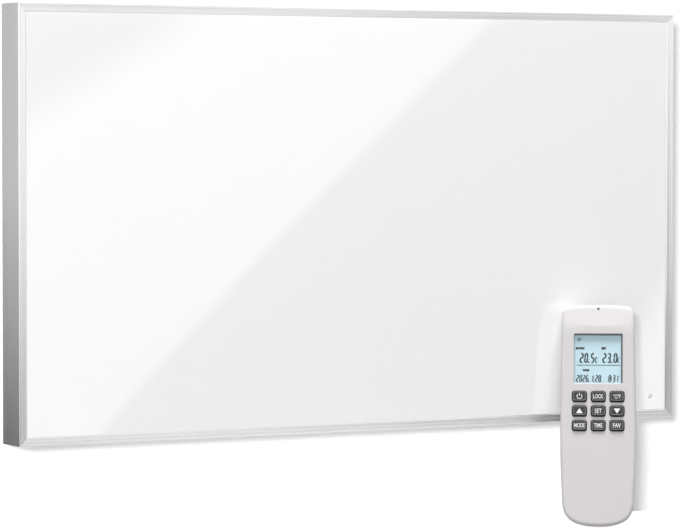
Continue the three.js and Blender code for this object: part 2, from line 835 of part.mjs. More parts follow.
function controlBoard() {
  const halfX = boxWidth / 2 - boxWall - boardEdge;
  const halfZ = boxHeight / 2 - boxWall - boardEdge;
  return box([-halfX, boardY, -halfZ], [halfX, boardY + boardThickness, halfZ]);
}
place(controls, 'control_board', controlBoard(), boardGreen);

const relayOutline = roundedRectangle(relayWidth, relayHeight, glassCorner / 2);
place(controls, 'relay', slab(relayOutline, 0, relayDepth), finish(0x1f4f9a, 0.4, 0), relayX, partsY, relayZ);

function terminalBlock() {
  const half = new THREE.Vector2(terminalWidth / 2, terminalHeight / 2);
  const whole = box([-half.x, 0, -half.y], [half.x, terminalDepth, half.y]);
  const wells = [];
  for (let pole = 0; pole < terminalPoles; pole += 1) {
    const x = ((pole + 1 / 2) / terminalPoles - 1 / 2) * terminalWidth;
    wells.push(barAt(terminalWell, x, 0, terminalDepth - terminalWellDepth, terminalDepth + reach));
  }
  return shaped(whole, [], wells);
}
place(controls, 'terminal_block', terminalBlock(), finish(0xe8e8e4, 0.6, 0), terminalX, partsY, terminalZ);

// Gland and nut are turned about the cord's line. Here their Y runs down out of the box.
const glandTop = -boxHeight / 2;
function aboutCord(geometry) {
  return geometry.rotateX(-quarterTurn).translate(glandX, glandY, glandTop);
}

function cableGland() {
  const neckEnd = -clearance - glandNeckLength;
  const collarEnd = clearance + glandCollarLength;
  const tipEnd = collarEnd + glandTipLength;
  const profile = [[glandBore, tipEnd], [glandBore, neckEnd], [glandNeck, neckEnd], [glandNeck, clearance]];
  profile.push([glandCollar, clearance], [glandCollar, collarEnd], [glandTip + glandTaper, collarEnd]);
  profile.push([glandTip, tipEnd], [glandBore, tipEnd]);
  return aboutCord(turned(profile));
}
place(controls, 'cable_gland', cableGland(), rubber);

function glandNut() {
  const apothem = Math.cos(Math.PI / hexSides);
  const corner = nutFlats / 2 / apothem;
  const seat = -boxWall - clearance;
  const hole = glandNeck + clearance;
  const nut = bar(corner, seat - nutLength, seat, hexSides).rotateY(Math.PI / hexSides);
  return aboutCord(shaped(nut, [], [bar(hole, seat - nutLength - reach, seat + reach)]));
}
place(controls, 'gland_nut', glandNut(), zinc);

// ------------------------------------------------------------------------------
// Hand control. Its own X runs to the right, Y up its length and Z out of its face.

const whitePlastic = finish(0xe6e3e2, 0.4, 0);
const greyRubber = finish(0x707275, 0.6, 0);
const inside = new THREE.Group();
inside.rotation.x = quarterTurn - handsetLean;
handset.rotation.z = -handsetTurn;
handset.add(inside);

// The outline drawn in by inset: a round foot, sides that swell to the waist, and a head with round corners.
function handsetOutline(inset) {
  const foot = -handsetHeight / 2 + inset;
  const head = handsetHeight / 2 - inset;
  const footHalf = handsetFootHalf - inset;
  const waistHalf = handsetWaistHalf - inset;
  const headHalf = handsetHeadHalf - inset;
  const radius = Math.max(handsetHeadRadius - inset, handsetHeadRadius / 4);
  const footTop = foot + handsetFootRise;
  const shoulder = head - radius;
  const brow = head - handsetHeadBow;
  const rise = handsetFootRise;
  const waist = handsetWaistLevel;
  const turnX = handsetFootTurn * footHalf;
  const turnY = foot + handsetFootPull * rise;
  const pull = handsetHeadPull * radius;
  const lowerX = (footHalf + waistHalf) / 2;
  const upperX = (waistHalf + headHalf) / 2;
  const right = [
    [[handsetFootFlat * footHalf, foot], [turnX, turnY], [footHalf, footTop]],
    [[lowerX, footTop + rise], [waistHalf, inset - 2 * rise], [waistHalf, waist]],
    [[waistHalf, waist + rise], [upperX, shoulder - 2 * rise], [headHalf, shoulder - handsetHeadBow]],
    [[headHalf, brow - pull], [headHalf - pull, brow], [headHalf - radius, brow]],
    [[headHalf - 2 * radius, head], [radius, head], [0, head]],
  ];
  const outline = new THREE.Shape();
  outline.moveTo(0, foot);
  for (const [first, second, end] of right) outline.bezierCurveTo(...first, ...second, ...end);
  const back = right.map((part, i) => [part[1], part[0], i > 0 ? right[i - 1][2] : [0, foot]]).reverse();
  for (const [first, second, end] of back) {
    outline.bezierCurveTo(-first[0], first[1], -second[0], second[1], -end[0], end[1]);
  }
  return outline;
}

// Everything above a plane that falls away towards the head, lowered by drop.
function aboveHeadSlope(drop) {
  const angle = Math.atan2(headSlopeDrop, headSlopeLength);
  const size = handsetHeight;
  const block = box([-size, -size / 4, 0], [size, size, size]);
  block.rotateX(-angle);
  return block.translate(0, handsetHeight / 2 - headSlopeLength, handsetFace - drop / Math.cos(angle));
}

// The solid outside form of the hand control, and the space inside its walls.
function handsetForm(inset, edge) {
  const face = handsetFace - inset;
  const whole = extruded(handsetOutline(inset), -face, face, edge, handsetEdgeSteps, handsetArcSides);
  return shaped(whole, [], [aboveHeadSlope(inset)]);
}

// The part of a geometry in front of a level, or behind it.
function halfOf(geometry, low, high) {
  const size = handsetHeight;
  return common(geometry, box([-size, -size, low], [size, size, high]));
}

const outerForm = handsetForm(0, handsetEdge);
const innerForm = handsetForm(shellWall, handsetEdge - shellWall / 2);
const emitterLevel = handsetBoardFront - emitterRadius;

function keyCentre(column, row) {
  const x = (column - (keyColumns - 1) / 2) * keyPitchX;
  const y = keyMiddle + ((keyRows - 1) / 2 - row) * keyPitchY;
  return [x, y];
}

function frontShell() {
  const front = toSolid(halfOf(outerForm, partingGap, handsetDepth));
  const shell = toGeometry(front.subtract(toSolid(innerForm)));
  const openings = [];
  const low = windowBack;
  const high = handsetFace + reach;
  const width = keyWidth + 2 * clearance;
  const height = keyHeight + 2 * clearance;
  for (let row = 0; row < keyRows; row += 1) {
    for (let column = 0; column < keyColumns; column += 1) {
      const [x, y] = keyCentre(column, row);
      openings.push(extruded(roundedRectangle(width, height, keyCorner + clearance, x, y), low, high));
    }
  }
  const display = roundedRectangle(displayWidth, displayHeight, displayCorner, 0, displayMiddle);
  openings.push(extruded(display, low, high));
  const emitterHole = bar(emitterRadius + clearance, 0, handsetHeight / 2 + reach);
  openings.push(emitterHole.translate(0, handsetHeight / 4, emitterLevel));
  const posts = [];
  for (const level of shellPostLevels) {
    for (const { x } of sides) {
      const post = bar(shellPostRadius, -underFace - shellWall / 2, -handsetBoardFront - clearance);
      posts.push(post.rotateX(-quarterTurn).translate(x * shellPostX, level, 0));
    }
  }
  return shaped(shell, posts, openings);
}
place(inside, 'handset_front_shell', frontShell(), whitePlastic);

// A block of the battery bay: a rectangle about the bay's middle between two levels.
function bayBlock(width, length, low, high) {
  const half = [width / 2, length / 2];
  return box([-half[0], bayMiddle - half[1], low], [half[0], bayMiddle + half[1], high]);
}

function rearShell() {
  const rear = toSolid(halfOf(outerForm, -handsetDepth, -partingGap));
  const shell = toGeometry(rear.subtract(toSolid(innerForm)));
  const ledgeBack = coverInside - clearance;
  const ledgeFront = ledgeBack + clearance * 2 + ledgeThickness;
  const recessWidth = coverWidth + 2 * clearance;
  const recessLength = coverLength + 2 * clearance;
  const ledge = bayBlock(recessWidth + 2 * ledgeWidth, recessLength + 2 * ledgeWidth, ledgeBack, ledgeFront);
  const bay = bayBlock(bayWidth + 2 * bayWall, bayLength + 2 * bayWall, ledgeBack, bayFloor + bayWall);
  const recessShape = roundedRectangle(recessWidth, recessLength, coverCorner, 0, bayMiddle);
  const recess = extruded(recessShape, -handsetDepth, coverInside + clearance);
  const hollow = bayBlock(bayWidth, bayLength, -handsetDepth, bayFloor);
  return shaped(shell, [ledge, bay], [recess, hollow]);
}
place(inside, 'handset_rear_shell', rearShell(), whitePlastic);

function batteryCover() {
  const outline = roundedRectangle(coverWidth, coverLength, coverCorner, 0, bayMiddle);
  const plate = extruded(outline, -handsetFace, coverInside);
  const thumb = bar(thumbRadius, -handsetFace - reach, -handsetFace + thumbDepth).rotateX(quarterTurn);
  const thumbY = bayMiddle + coverLength / 2 - thumbRadius - coverCorner;
  return shaped(plate, [], [thumb.translate(0, thumbY, 0)]);
}
place(inside, 'battery_cover', batteryCover(), whitePlastic);

const displayLapWidth = displayWidth + 2 * displayLap;
const displayLapHeight = displayHeight + 2 * displayLap;
const displayOutline = roundedRectangle(displayLapWidth, displayLapHeight, displayCorner, 0, displayMiddle);
const windowShape = extruded(displayOutline, windowBack, underFace - clearance);
place(inside, 'display_window', windowShape, finish(0xd6e4ea, 0.05, 0));
const moduleShape = extruded(displayOutline, matBack, windowBack - clearance);
place(inside, 'display_module', moduleShape, finish(0xc8e4ee, 0.3, 0));

function handsetBoard() {
  const width = 2 * (handsetFootHalf - shellWall - handsetBoardEdge);
  const height = handsetBoardTop - handsetBoardBottom;
  const middle = (handsetBoardTop + handsetBoardBottom) / 2;
  const outline = roundedRectangle(width, height, keyCorner, 0, middle);
  return extruded(outline, handsetBoardFront - boardThickness, handsetBoardFront);
}
place(inside, 'handset_board', handsetBoard(), boardGreen);

// The mat has a nub under each key.
function keypadMat() {
  const width = (keyColumns - 1) * keyPitchX + keyWidth + 2 * matEdge;
  const height = (keyRows - 1) * keyPitchY + keyHeight + 2 * matEdge;
  const sheet = extruded(roundedRectangle(width, height, keyCorner, 0, keyMiddle), matBack, matFront);
  const nubs = [];
  for (let row = 0; row < keyRows; row += 1) {
    for (let column = 0; column < keyColumns; column += 1) {
      const [x, y] = keyCentre(column, row);
      const nub = bar(nubRadius, (matBack + matFront) / 2, nubTop).rotateX(quarterTurn);
      nubs.push(nub.translate(x, y, 0));
    }
  }
  return shaped(sheet, nubs, []);
}
place(inside, 'keypad_mat', keypadMat(), finish(0x8d9093, 0.8, 0));

// A key is a crowned cap on a flange that the shell holds back.
function keyCap() {
  const flange = extruded(
    roundedRectangle(keyWidth + 2 * keyFlange, keyHeight + 2 * keyFlange, keyCorner),
    keyFlangeBottom,
    keyFlangeTop,
  );
  const capOutline = roundedRectangle(keyWidth, keyHeight, keyCorner);
  const cap = extruded(capOutline, keyFlangeBottom, handsetFace + keyRise, keyBevel, keyEdgeSteps);
  return shaped(flange, [cap], []);
}
const keyNames = ['power', 'lock', 'units', 'up', 'set', 'down', 'mode', 'time', 'favourite'];
const keyGeometry = keyCap();
keyNames.forEach((name, i) => {
  const column = i % keyColumns;
  const row = Math.floor(i / keyColumns);
  const [x, y] = keyCentre(column, row);
  place(inside, `key_${name}`, keyGeometry, greyRubber, x, y, 0);
});

// A cell has its nub on top. The left one is turned over.
function batteryCell() {
  const shoulder = cellLength / 2 - cellNub;
  const bevel = cellNub / 2;
  const foot = -cellLength / 2;
  const profile = [[0, foot], [cellRadius - bevel, foot], [cellRadius, foot + bevel]];
  profile.push([cellRadius, shoulder - bevel], [cellRadius - bevel, shoulder], [cellNubRadius, shoulder]);
  profile.push([cellNubRadius, cellLength / 2], [0, cellLength / 2]);
  return turned(profile);
}
const cellOffset = (contactSpring - contactButton) / 2;
for (const { name, x } of sides) {
  const mesh = place(inside, `battery_${name}`, batteryCell(), finish(0x3f4245, 0.35, 0.4));
  mesh.position.set((x * cellSpacing) / 2, bayMiddle + x * cellOffset, cellMiddle);
  mesh.rotation.z = x < 0 ? 2 * quarterTurn : 0;
}

// A contact has a spring for one cell and a button for the other. The upper one is the lower one turned over.
function batteryContact() {
  const width = bayWidth / 2 - clearance;
  const plate = box([-width, 0, -contactHeight / 2], [width, contactThickness, contactHeight / 2]);
  const base = contactThickness / 2;
  const springTop = contactThickness + contactSpring;
  const springRadius = cellRadius / 2;
  const springFoot = springRadius + contactSpringFlare;
  const profile = [[0, base], [springFoot, base], [springRadius, springTop], [0, springTop]];
  const spring = turned(profile, plainSides);
  const button = bar(cellNubRadius, base, contactThickness + contactButton);
  return shaped(plate, [spring.translate(cellSpacing / 2, 0, 0), button.translate(-cellSpacing / 2, 0, 0)], []);
}
const contactEnds = [
  { name: 'lower', y: -1, turn: 0 },
  { name: 'upper', y: 1, turn: 2 * quarterTurn },
];
for (const { name, y, turn } of contactEnds) {
  const mesh = place(inside, `battery_contact_${name}`, batteryContact(), finish(0xc9cac8, 0.3, 1));
  mesh.position.set(0, bayMiddle + y * (bayLength / 2 - clearance), cellMiddle);
  mesh.rotation.z = turn;
}

function infraredEmitter() {
  const top = handsetHeight / 2 - emitterRecess;
  const shoulder = top - emitterRadius;
  const ringRadius = emitterRadius * Math.cos(emitterDomeTurn / 2);
  const capRadius = emitterRadius * Math.cos(emitterDomeTurn);
  const profile = [[0, top - emitterLength], [emitterRadius, top - emitterLength], [emitterRadius, shoulder]];
  profile.push([ringRadius, shoulder + emitterRadius * Math.sin(emitterDomeTurn / 2)]);
  profile.push([capRadius, shoulder + emitterRadius * Math.sin(emitterDomeTurn)], [0, top]);
  return turned(profile, plainSides);
}
place(inside, 'infrared_emitter', infraredEmitter(), finish(0x2a2030, 0.1, 0), 0, 0, emitterLevel);

// The hand control is moved back until it all but touches the glass, or the bottom bar's face below it.
function restOnGlass() {
  handset.position.set(handsetX, 0, handsetZ);
  handset.updateMatrixWorld(true);
  const barTop = panelMiddleZ - panelHeight / 2 + faceWidth;
  const point = new THREE.Vector3();
  let y = Infinity;
  inside.traverse((object) => {
    if (!object.isMesh) return;
    const points = object.geometry.getAttribute('position');
    for (let i = 0; i < points.count; i += 1) {
      point.fromBufferAttribute(points, i).applyMatrix4(object.matrixWorld);
      const surface = point.z > barTop ? panelFrontY + glassFront : panelFrontY;
      y = Math.min(y, surface - clearance - point.y);
    }
  });
  handset.position.y = y;
}
restOnGlass();

export default root;
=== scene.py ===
"""Infrared panel heater with its hand control: the looks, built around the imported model.

Metres, X to the right, Y towards the wall, Z up. Each shape is worked out as whole numpy arrays from the sizes in
the property groups below, and each finish is a node material made from the groups under Finishes.
"""

import json
import math

import bmesh
import bpy
import numpy as np
from bpy.props import FloatProperty, FloatVectorProperty, PointerProperty
from mathutils import Matrix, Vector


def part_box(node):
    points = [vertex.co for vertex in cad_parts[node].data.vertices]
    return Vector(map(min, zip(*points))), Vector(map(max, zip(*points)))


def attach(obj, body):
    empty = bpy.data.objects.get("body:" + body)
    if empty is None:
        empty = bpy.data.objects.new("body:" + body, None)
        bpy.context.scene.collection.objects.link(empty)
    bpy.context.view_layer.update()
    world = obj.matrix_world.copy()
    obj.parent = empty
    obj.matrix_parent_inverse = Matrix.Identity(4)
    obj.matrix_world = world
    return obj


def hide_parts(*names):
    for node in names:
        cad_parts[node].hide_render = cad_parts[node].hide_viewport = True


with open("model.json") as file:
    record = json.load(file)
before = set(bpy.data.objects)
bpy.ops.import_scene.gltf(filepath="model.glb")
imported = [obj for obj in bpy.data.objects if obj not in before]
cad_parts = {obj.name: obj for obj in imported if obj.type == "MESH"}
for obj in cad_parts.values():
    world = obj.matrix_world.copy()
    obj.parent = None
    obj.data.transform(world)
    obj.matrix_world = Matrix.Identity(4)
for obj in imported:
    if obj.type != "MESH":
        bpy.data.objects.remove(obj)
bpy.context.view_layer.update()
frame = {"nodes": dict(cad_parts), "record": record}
NODES = frame["nodes"]
SLOTS = {part["node"]: part["material_slot"] for part in frame["record"]["subparts"]}
BODIES = {node: body for body, members in frame["record"]["behaviour"]["bodies"].items() for node in members}

bl_info = {
    "name": "Infrared panel heater",
    "version": (1, 0, 0),
    "blender": (4, 5, 0),
    "location": "View3D > Sidebar > Heater",
    "description": "Builds a glass-fronted panel heater, its wall rail and its hand control",
    "category": "Object",
}

MM = 0.001
TINY = 1e-6  # the radius of a closed pole, and the gap under which two points are one
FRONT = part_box("frame_left")[0].y
PANEL_LOW, PANEL_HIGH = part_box("frame_left")[0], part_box("frame_right")[1]


# Sizes and colours ------------------------------------------------------------


def length(name, description, millimetres, low=0.0):
    """A size in metres, given here in millimetres."""
    return FloatProperty(
        name=name,
        description=description,
        default=millimetres * MM,
        min=low * MM,
        subtype="DISTANCE",
        unit="LENGTH",
        precision=4,
    )


def angle(name, description, degrees):
    return FloatProperty(name=name, description=description, default=math.radians(degrees), subtype="ANGLE")


def colour(name, description, value):
    return FloatVectorProperty(
        name=name, description=description, default=value, size=3, min=0.0, max=1.0, subtype="COLOR"
    )


def share(name, description, value, high=1.0):
    return FloatProperty(name=name, description=description, default=value, min=0.0, max=high, subtype="FACTOR")


class HEATER_PG_panel(bpy.types.PropertyGroup):
    """Sizes of the panel, its rail and its fittings."""

    wall: length("Bar wall", "Thickness of the frame bars' walls", 1.4)
    face: length("Bar face", "Width of the frame bars' front face", 7.5)
    lip: length("Lip", "Thickness of the lip over the glass", 2.0)
    flange: length("Rear flange", "Width of the frame bars' rear flange", 9.0)
    bead: length("Bead", "Width of the outer bead", 1.8)
    groove: length("Groove", "Width of the groove beside the bead", 0.9)
    groove_depth: length("Groove depth", "Depth of the groove", 0.5)
    ridge: length("Ridge", "Width of the ridge beside the groove", 0.9)
    step: length("Step", "Drop from the ridge to the flat", 0.3)
    bevel: length("Inner bevel", "Width of the bevel next to the glass", 1.0)
    mitre_gap: length("Mitre gap", "Hairline between two bars", 0.2)
    sheet: length("Sheet", "Thickness of the bent strip", 2.0)
    rib_height: length("Rib height", "How far the rear plate's ribs stand out", 1.1)


class HEATER_PG_control(bpy.types.PropertyGroup):
    """Sizes of the hand control."""

    height: length("Height", "From foot to head", 200.0)
    waist: length("Waist", "Half width at the keys", 34.2)
    head: length("Head", "Half width at the head", 32.4)
    foot: length("Foot", "Half width at the foot", 32.3)
    depth: length("Depth", "From back to face", 24.0)
    edge: length("Edge", "Rounding of the edges", 3.4)
    wall: length("Wall", "Thickness of the shells", 2.0)
    slope: length("Head slope", "Length of the sloping head", 19.0)
    slope_drop: length("Head drop", "How far the head falls away", 4.2)
    turn: angle("Turn", "How far it is turned to the left", 33.5)
    lean: angle("Lean", "How far it leans back", 4.5)
    key_width: length("Key width", "Width of a key", 13.1)
    key_height: length("Key height", "Height of a key", 9.6)
    key_rise: length("Key rise", "How far a key stands out of the face", 1.8)
    display_width: length("Display width", "Width of the display opening", 43.7)
    display_height: length("Display height", "Height of the display opening", 44.8)
    display_middle: length("Display middle", "Height of the display's middle", 51.6)


class HEATER_PG_colours(bpy.types.PropertyGroup):
    """Colours of the finishes."""

    aluminium: colour("Aluminium", "Brushed frame bars", (0.88, 0.88, 0.89))
    glass: colour("Glass", "White enamel seen through the glass", (0.91, 0.91, 0.918))
    shell: colour("Shell", "Plastic of the hand control", (0.56, 0.54, 0.542))
    key: colour("Key", "Rubber of the keys", (0.05, 0.05, 0.053))
    legend: colour("Legend", "Print on the keys", (0.78, 0.79, 0.80))
    display: colour("Display", "Ground of the display", (0.47, 0.64, 0.71))
    ink: colour("Ink", "Dark segments of the display", (0.006, 0.012, 0.018))
    steel: colour("Steel", "Zinc-coated sheet", (0.62, 0.635, 0.65))
    black: colour("Black", "Black plastic and rubber", (0.035, 0.036, 0.039))


class HEATER_PG_stage(bpy.types.PropertyGroup):
    """The camera and the studio light."""

    lens: FloatProperty(name="Lens", description="Focal length in millimetres", default=191.875, min=10.0)
    turn: angle("Camera turn", "How far the camera looks to the right of the wall's normal", 29.3877)
    dip: angle("Camera dip", "How far the camera looks down", 2.14736)
    room: share("Room light", "Strength of the even light", 0.29, 2.0)
    key: FloatProperty(name="Key light", description="Watts of the lamp at the upper left", default=160.0, min=0.0)
    top: FloatProperty(name="Top light", description="Watts of the overhead lamp", default=500.0, min=0.0)
    rear: FloatProperty(name="Rear light", description="Watts of the lamp behind the wall", default=32.0, min=0.0)
    ground: FloatProperty(name="Ground light", description="Watts that draw the shadows", default=345.0, min=0.0)


def sizes(context, group):
    return getattr(context.scene, "heater_" + group)


# Shapes -----------------------------------------------------------------------


def unit(vectors):
    return vectors / np.linalg.norm(vectors, axis=-1, keepdims=True)


def rounded(points, radii, steps=4):
    """A closed outline whose corners are arcs.

    At a corner whose sides meet at twice the angle h, an arc of radius r touches them r / tan(h) away from the
    corner, and its middle lies r / sin(h) away along the bisector. The arc is swept from one touching point to
    the other by spherical interpolation about that middle.
    """
    points = np.asarray(points, float)
    radii = np.broadcast_to(np.asarray(radii, float), len(points))[:, None]
    before = unit(np.roll(points, 1, 0) - points)
    after = unit(np.roll(points, -1, 0) - points)
    half = np.arccos(np.clip((before * after).sum(1, keepdims=True), -1, 1)) / 2
    middle = points + unit(before + after) * radii / np.sin(half)
    start = points + before * radii / np.tan(half) - middle
    end = points + after * radii / np.tan(half) - middle
    turn = (math.pi - 2 * half)[:, None]
    t = np.linspace(0, 1, steps + 1)[None, :, None]
    arcs = np.sin((1 - t) * turn) * start[:, None] + np.sin(t * turn) * end[:, None]
    return (middle[:, None] + arcs / np.sin(turn)).reshape(-1, 2)


def rectangle(width, height, radius, steps=6, x=0.0, y=0.0):
    """A rectangle with round corners, counter-clockwise, about (x, y)."""
    corners = np.array([[1, -1], [1, 1], [-1, 1], [-1, -1]]) * [width / 2, height / 2] + [x, y]
    return rounded(corners, radius, steps)


def normals_of(outline):
    """Outward normals of a counter-clockwise outline: the line between both neighbours, turned a quarter back."""
    along = unit(np.roll(outline, -1, 0) - np.roll(outline, 1, 0))
    return np.stack([along[:, 1], -along[:, 0]], 1)


def grid_faces(rows, columns, wrap=True):
    """Four-cornered faces of a grid of rows by columns, whose last column meets the first where wrap is set."""
    row, column = np.mgrid[0 : rows - 1, 0 : columns if wrap else columns - 1]
    first = row * columns + column
    second = row * columns + (column + 1) % columns
    return np.stack([first, second, second + columns, first + columns], -1).reshape(-1, 4)


def capped(rings):
    """A closed body from rings (k, n, 3): a skin between each ring and the next, and a cap on both ends."""
    rows, columns = rings.shape[:2]
    faces = grid_faces(rows, columns).tolist()
    faces.append(list(range(columns))[::-1])
    faces.append(list(range((rows - 1) * columns, rows * columns)))
    return rings.reshape(-1, 3), faces


def stack(outline, profile):
    """A closed body from an outline in X and Y, drawn in along its normals and raised as profile says.

    Row k of the profile is (inset, level), and its ring is outline - inset * normal at that level. A third value
    in the rows moves the rings along Y.
    """
    profile = np.asarray(profile, float)
    flat = outline[None] - profile[:, 0][:, None, None] * normals_of(outline)[None]
    flat[..., 1] += profile[:, 2:].sum(1)[:, None]
    level = np.broadcast_to(profile[:, 1][:, None, None], (*flat.shape[:2], 1))
    return capped(np.concatenate([flat, level], -1))


def quarter(radius, inset, level, steps=5):
    """Rows (inset, level) of a quarter round.

    The inset grows from inset to inset + radius, while the level rises from level - radius to level.
    """
    t = np.linspace(0, math.pi / 2, steps)
    return np.stack([inset + radius * (1 - np.cos(t)), level - radius + radius * np.sin(t)], 1)


def slab_profile(low, high, edge, steps=4):
    """Rows (inset, level) of a plate whose two rims are quarter rounds."""
    top = quarter(edge, 0.0, high, steps)
    bottom = np.stack([top[::-1, 0], low + high - top[::-1, 1]], 1)
    return np.concatenate([bottom, top])


def turned(profile, sides=32):
    """A body turned about Z from rows (radius, height).

    Each row is a ring radius * (cos a, sin a) at its height.
    """
    profile = np.asarray(profile, float)
    a = np.linspace(0, 2 * math.pi, sides, endpoint=False)
    ring = np.stack([np.cos(a), np.sin(a)], 1)
    flat = profile[:, 0][:, None, None] * ring[None]
    level = np.broadcast_to(profile[:, 1][:, None, None], (len(profile), sides, 1))
    return capped(np.concatenate([flat, level], -1))


def plates(outlines, low, high):
    """Thin closed plates from outlines (m, k, 2), each between two levels."""
    count, corners = outlines.shape[:2]
    flat = np.repeat(outlines[:, None], 2, 1)
    level = np.broadcast_to(np.array([low, high])[None, :, None, None], (count, 2, corners, 1))
    vertices = np.concatenate([flat, level], -1).reshape(-1, 3)
    base = np.arange(count)[:, None] * 2 * corners
    ring = np.arange(corners)
    after = (ring + 1) % corners
    sides = np.stack([ring, after, after + corners, ring + corners], -1)
    faces = (base[:, :, None] + sides[None]).reshape(-1, 4).tolist()
    faces += (base + ring[::-1][None]).tolist()
    faces += (base + corners + ring[None]).tolist()
    return vertices, faces


def tube(path, radius, sides=10):
    """A round bar along a path (n, 3): at each point a circle stands square to the path.

    The circle's first axis is the path's direction crossed with a fixed line, and its second is the direction
    crossed with the first.
    """
    along = unit(np.gradient(path, axis=0))
    first = unit(np.cross(along, [0.13, 0.99, 0.07]))
    second = np.cross(along, first)
    a = np.linspace(0, 2 * math.pi, sides, endpoint=False)[None, :, None]
    rings = path[:, None] + radius * (np.cos(a) * first[:, None] + np.sin(a) * second[:, None])
    return capped(rings)


def moved(shell, matrix):
    """A shell with its points taken through a matrix."""
    vertices, faces = shell
    matrix = np.array(matrix)
    return vertices @ matrix[:3, :3].T + matrix[:3, 3], faces


def along_y(x, y, z, sign=1):
    """Stands Z-up shapes on the line through (x, y, z) that runs along Y."""
    return Matrix.Translation((x, y, z)) @ Matrix.Rotation(-sign * math.pi / 2, 4, "X")


def control_matrix(settings):
    """From the hand control's own X, Y up its length and Z out of its face to the whole object's axes."""
    turn = Matrix.Rotation(-settings.turn, 4, "Z") @ Matrix.Rotation(math.pi / 2 - settings.lean, 4, "X")
    low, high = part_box("display_module")
    back, front = 5.6 * MM, 8.4 * MM
    middle = turn @ Matrix.Translation((0, settings.display_middle, (back + front) / 2))
    return Matrix.Translation((low + high) / 2 - middle.translation) @ turn


def mesh_of(name, shells, masks=None):
    """A mesh from shells, with doubles merged, flat faces dropped and every face turned outwards."""
    mesh = bpy.data.meshes.new(name)
    counts = np.cumsum([0] + [len(vertices) for vertices, _ in shells])
    faces = [[i + count for i in face] for count, (_, part) in zip(counts, shells) for face in part]
    mesh.from_pydata(np.concatenate([vertices for vertices, _ in shells]), [], faces)
    for mask, values in (masks or {}).items():
        mesh.attributes.new(mask, "FLOAT", "POINT").data.foreach_set("value", np.asarray(values, np.float32))
    work = bmesh.new()
    work.from_mesh(mesh)
    bmesh.ops.remove_doubles(work, verts=work.verts, dist=TINY)
    bmesh.ops.dissolve_degenerate(work, edges=work.edges, dist=1e-7)
    bmesh.ops.recalc_face_normals(work, faces=work.faces)
    work.to_mesh(mesh)
    work.free()
    return mesh


def dress(mesh, body, material, replaces=(), slot=None, sharp=32.0):
    """Makes a mesh a finished piece: smooth with sharp edges, in its material, riding on its body."""
    mesh.shade_smooth()
    mesh.set_sharp_from_angle(angle=math.radians(sharp))
    mesh.materials.clear()
    mesh.materials.append(material)
    piece = bpy.data.objects.new(mesh.name, mesh)
    bpy.context.scene.collection.objects.link(piece)
    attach(piece, body)
    if replaces:
        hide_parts(*replaces)
        slot = slot or SLOTS[replaces[0]]
    return piece


def build(name, shells, body, material, replaces=(), slot=None, matrix=None, masks=None, sharp=32.0):
    if matrix is not None:
        shells = [moved(shell, matrix) for shell in shells]
    return dress(mesh_of(name, shells, masks), body, material, replaces, slot, sharp)


def carve(mesh, added=(), removed=()):
    """A mesh with each of the shells in added joined to it, then each of those in removed cut out of it."""
    target = bpy.data.objects.new(mesh.name + "_blank", mesh)
    bpy.context.scene.collection.objects.link(target)
    tools = []
    for operation, shells in (("UNION", added), ("DIFFERENCE", removed)):
        for shell in shells:
            tool = bpy.data.objects.new("tool", mesh_of("tool", [shell]))
            bpy.context.scene.collection.objects.link(tool)
            cut = target.modifiers.new("cut", "BOOLEAN")
            cut.operation = operation
            cut.solver = "EXACT"
            cut.object = tool
            tools.append(tool)
    bpy.context.view_layer.update()
    carved = bpy.data.meshes.new_from_object(target.evaluated_get(bpy.context.evaluated_depsgraph_get()))
    for left_over in (target, *tools):
        bpy.data.objects.remove(left_over)
    carved.name = mesh.name
    return carved


def softened(node, material, width=0.35 * MM, body=None):
    """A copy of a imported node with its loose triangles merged, flat faces joined and edges rounded."""
    mesh = NODES[node].data.copy()
    mesh.name = node + "_soft"
    work = bmesh.new()
    work.from_mesh(mesh)
    bmesh.ops.remove_doubles(work, verts=work.verts, dist=TINY)
    bmesh.ops.dissolve_limit(work, angle_limit=math.radians(1), verts=work.verts, edges=work.edges)
    work.to_mesh(mesh)
    work.free()
    piece = dress(mesh, body or BODIES[node], material, [node], sharp=40.0)
    bevel = piece.modifiers.new("edges", "BEVEL")
    bevel.width = width
    bevel.segments = 2
    bevel.limit_method = "ANGLE"
    bevel.angle_limit = math.radians(35)
    bevel.harden_normals = True
    return piece


# Finishes ---------------------------------------------------------------------


def add(tree, kind, inputs=None, **settings):
    """A node with its settings, and its sockets set to values or joined to other nodes' sockets."""
    node = tree.nodes.new(kind)
    for key, value in settings.items():
        setattr(node, key, value)
    for key, value in (inputs or {}).items():
        if isinstance(value, bpy.types.NodeSocket):
            tree.links.new(value, node.inputs[key])
        else:
            node.inputs[key].default_value = value
    return node


def node_group(name, inputs, outputs):
    """An empty group with its sockets. inputs are (name, kind, default), and outputs are (name, kind)."""
    tree = bpy.data.node_groups.new(name, "ShaderNodeTree")
    for label, kind, default in inputs:
        socket = tree.interface.new_socket(name=label, in_out="INPUT", socket_type="NodeSocket" + kind)
        if default is not None:
            socket.default_value = default
    for label, kind in outputs:
        tree.interface.new_socket(name=label, in_out="OUTPUT", socket_type="NodeSocket" + kind)
    return tree, tree.nodes.new("NodeGroupInput").outputs, tree.nodes.new("NodeGroupOutput").inputs


def scaled(tree, value, low, high):
    """A value from 0 to 1 spread between two sockets or numbers."""
    return add(tree, "ShaderNodeMapRange", {"Value": value, "To Min": low, "To Max": high}).outputs[0]


def scaled_between(tree, value, start, stop, low, high):
    """A value from start to stop spread between low and high."""
    inputs = {"Value": value, "From Min": start, "From Max": stop, "To Min": low, "To Max": high}
    return add(tree, "ShaderNodeMapRange", inputs).outputs[0]


def about(tree, value, middle, spread):
    """A value from 0 to 1 spread from middle - spread to middle + spread."""
    low, high = (
        add(tree, "ShaderNodeMath", {0: middle, 1: spread}, operation=operation).outputs[0]
        for operation in ("SUBTRACT", "ADD")
    )
    return scaled(tree, value, low, high)


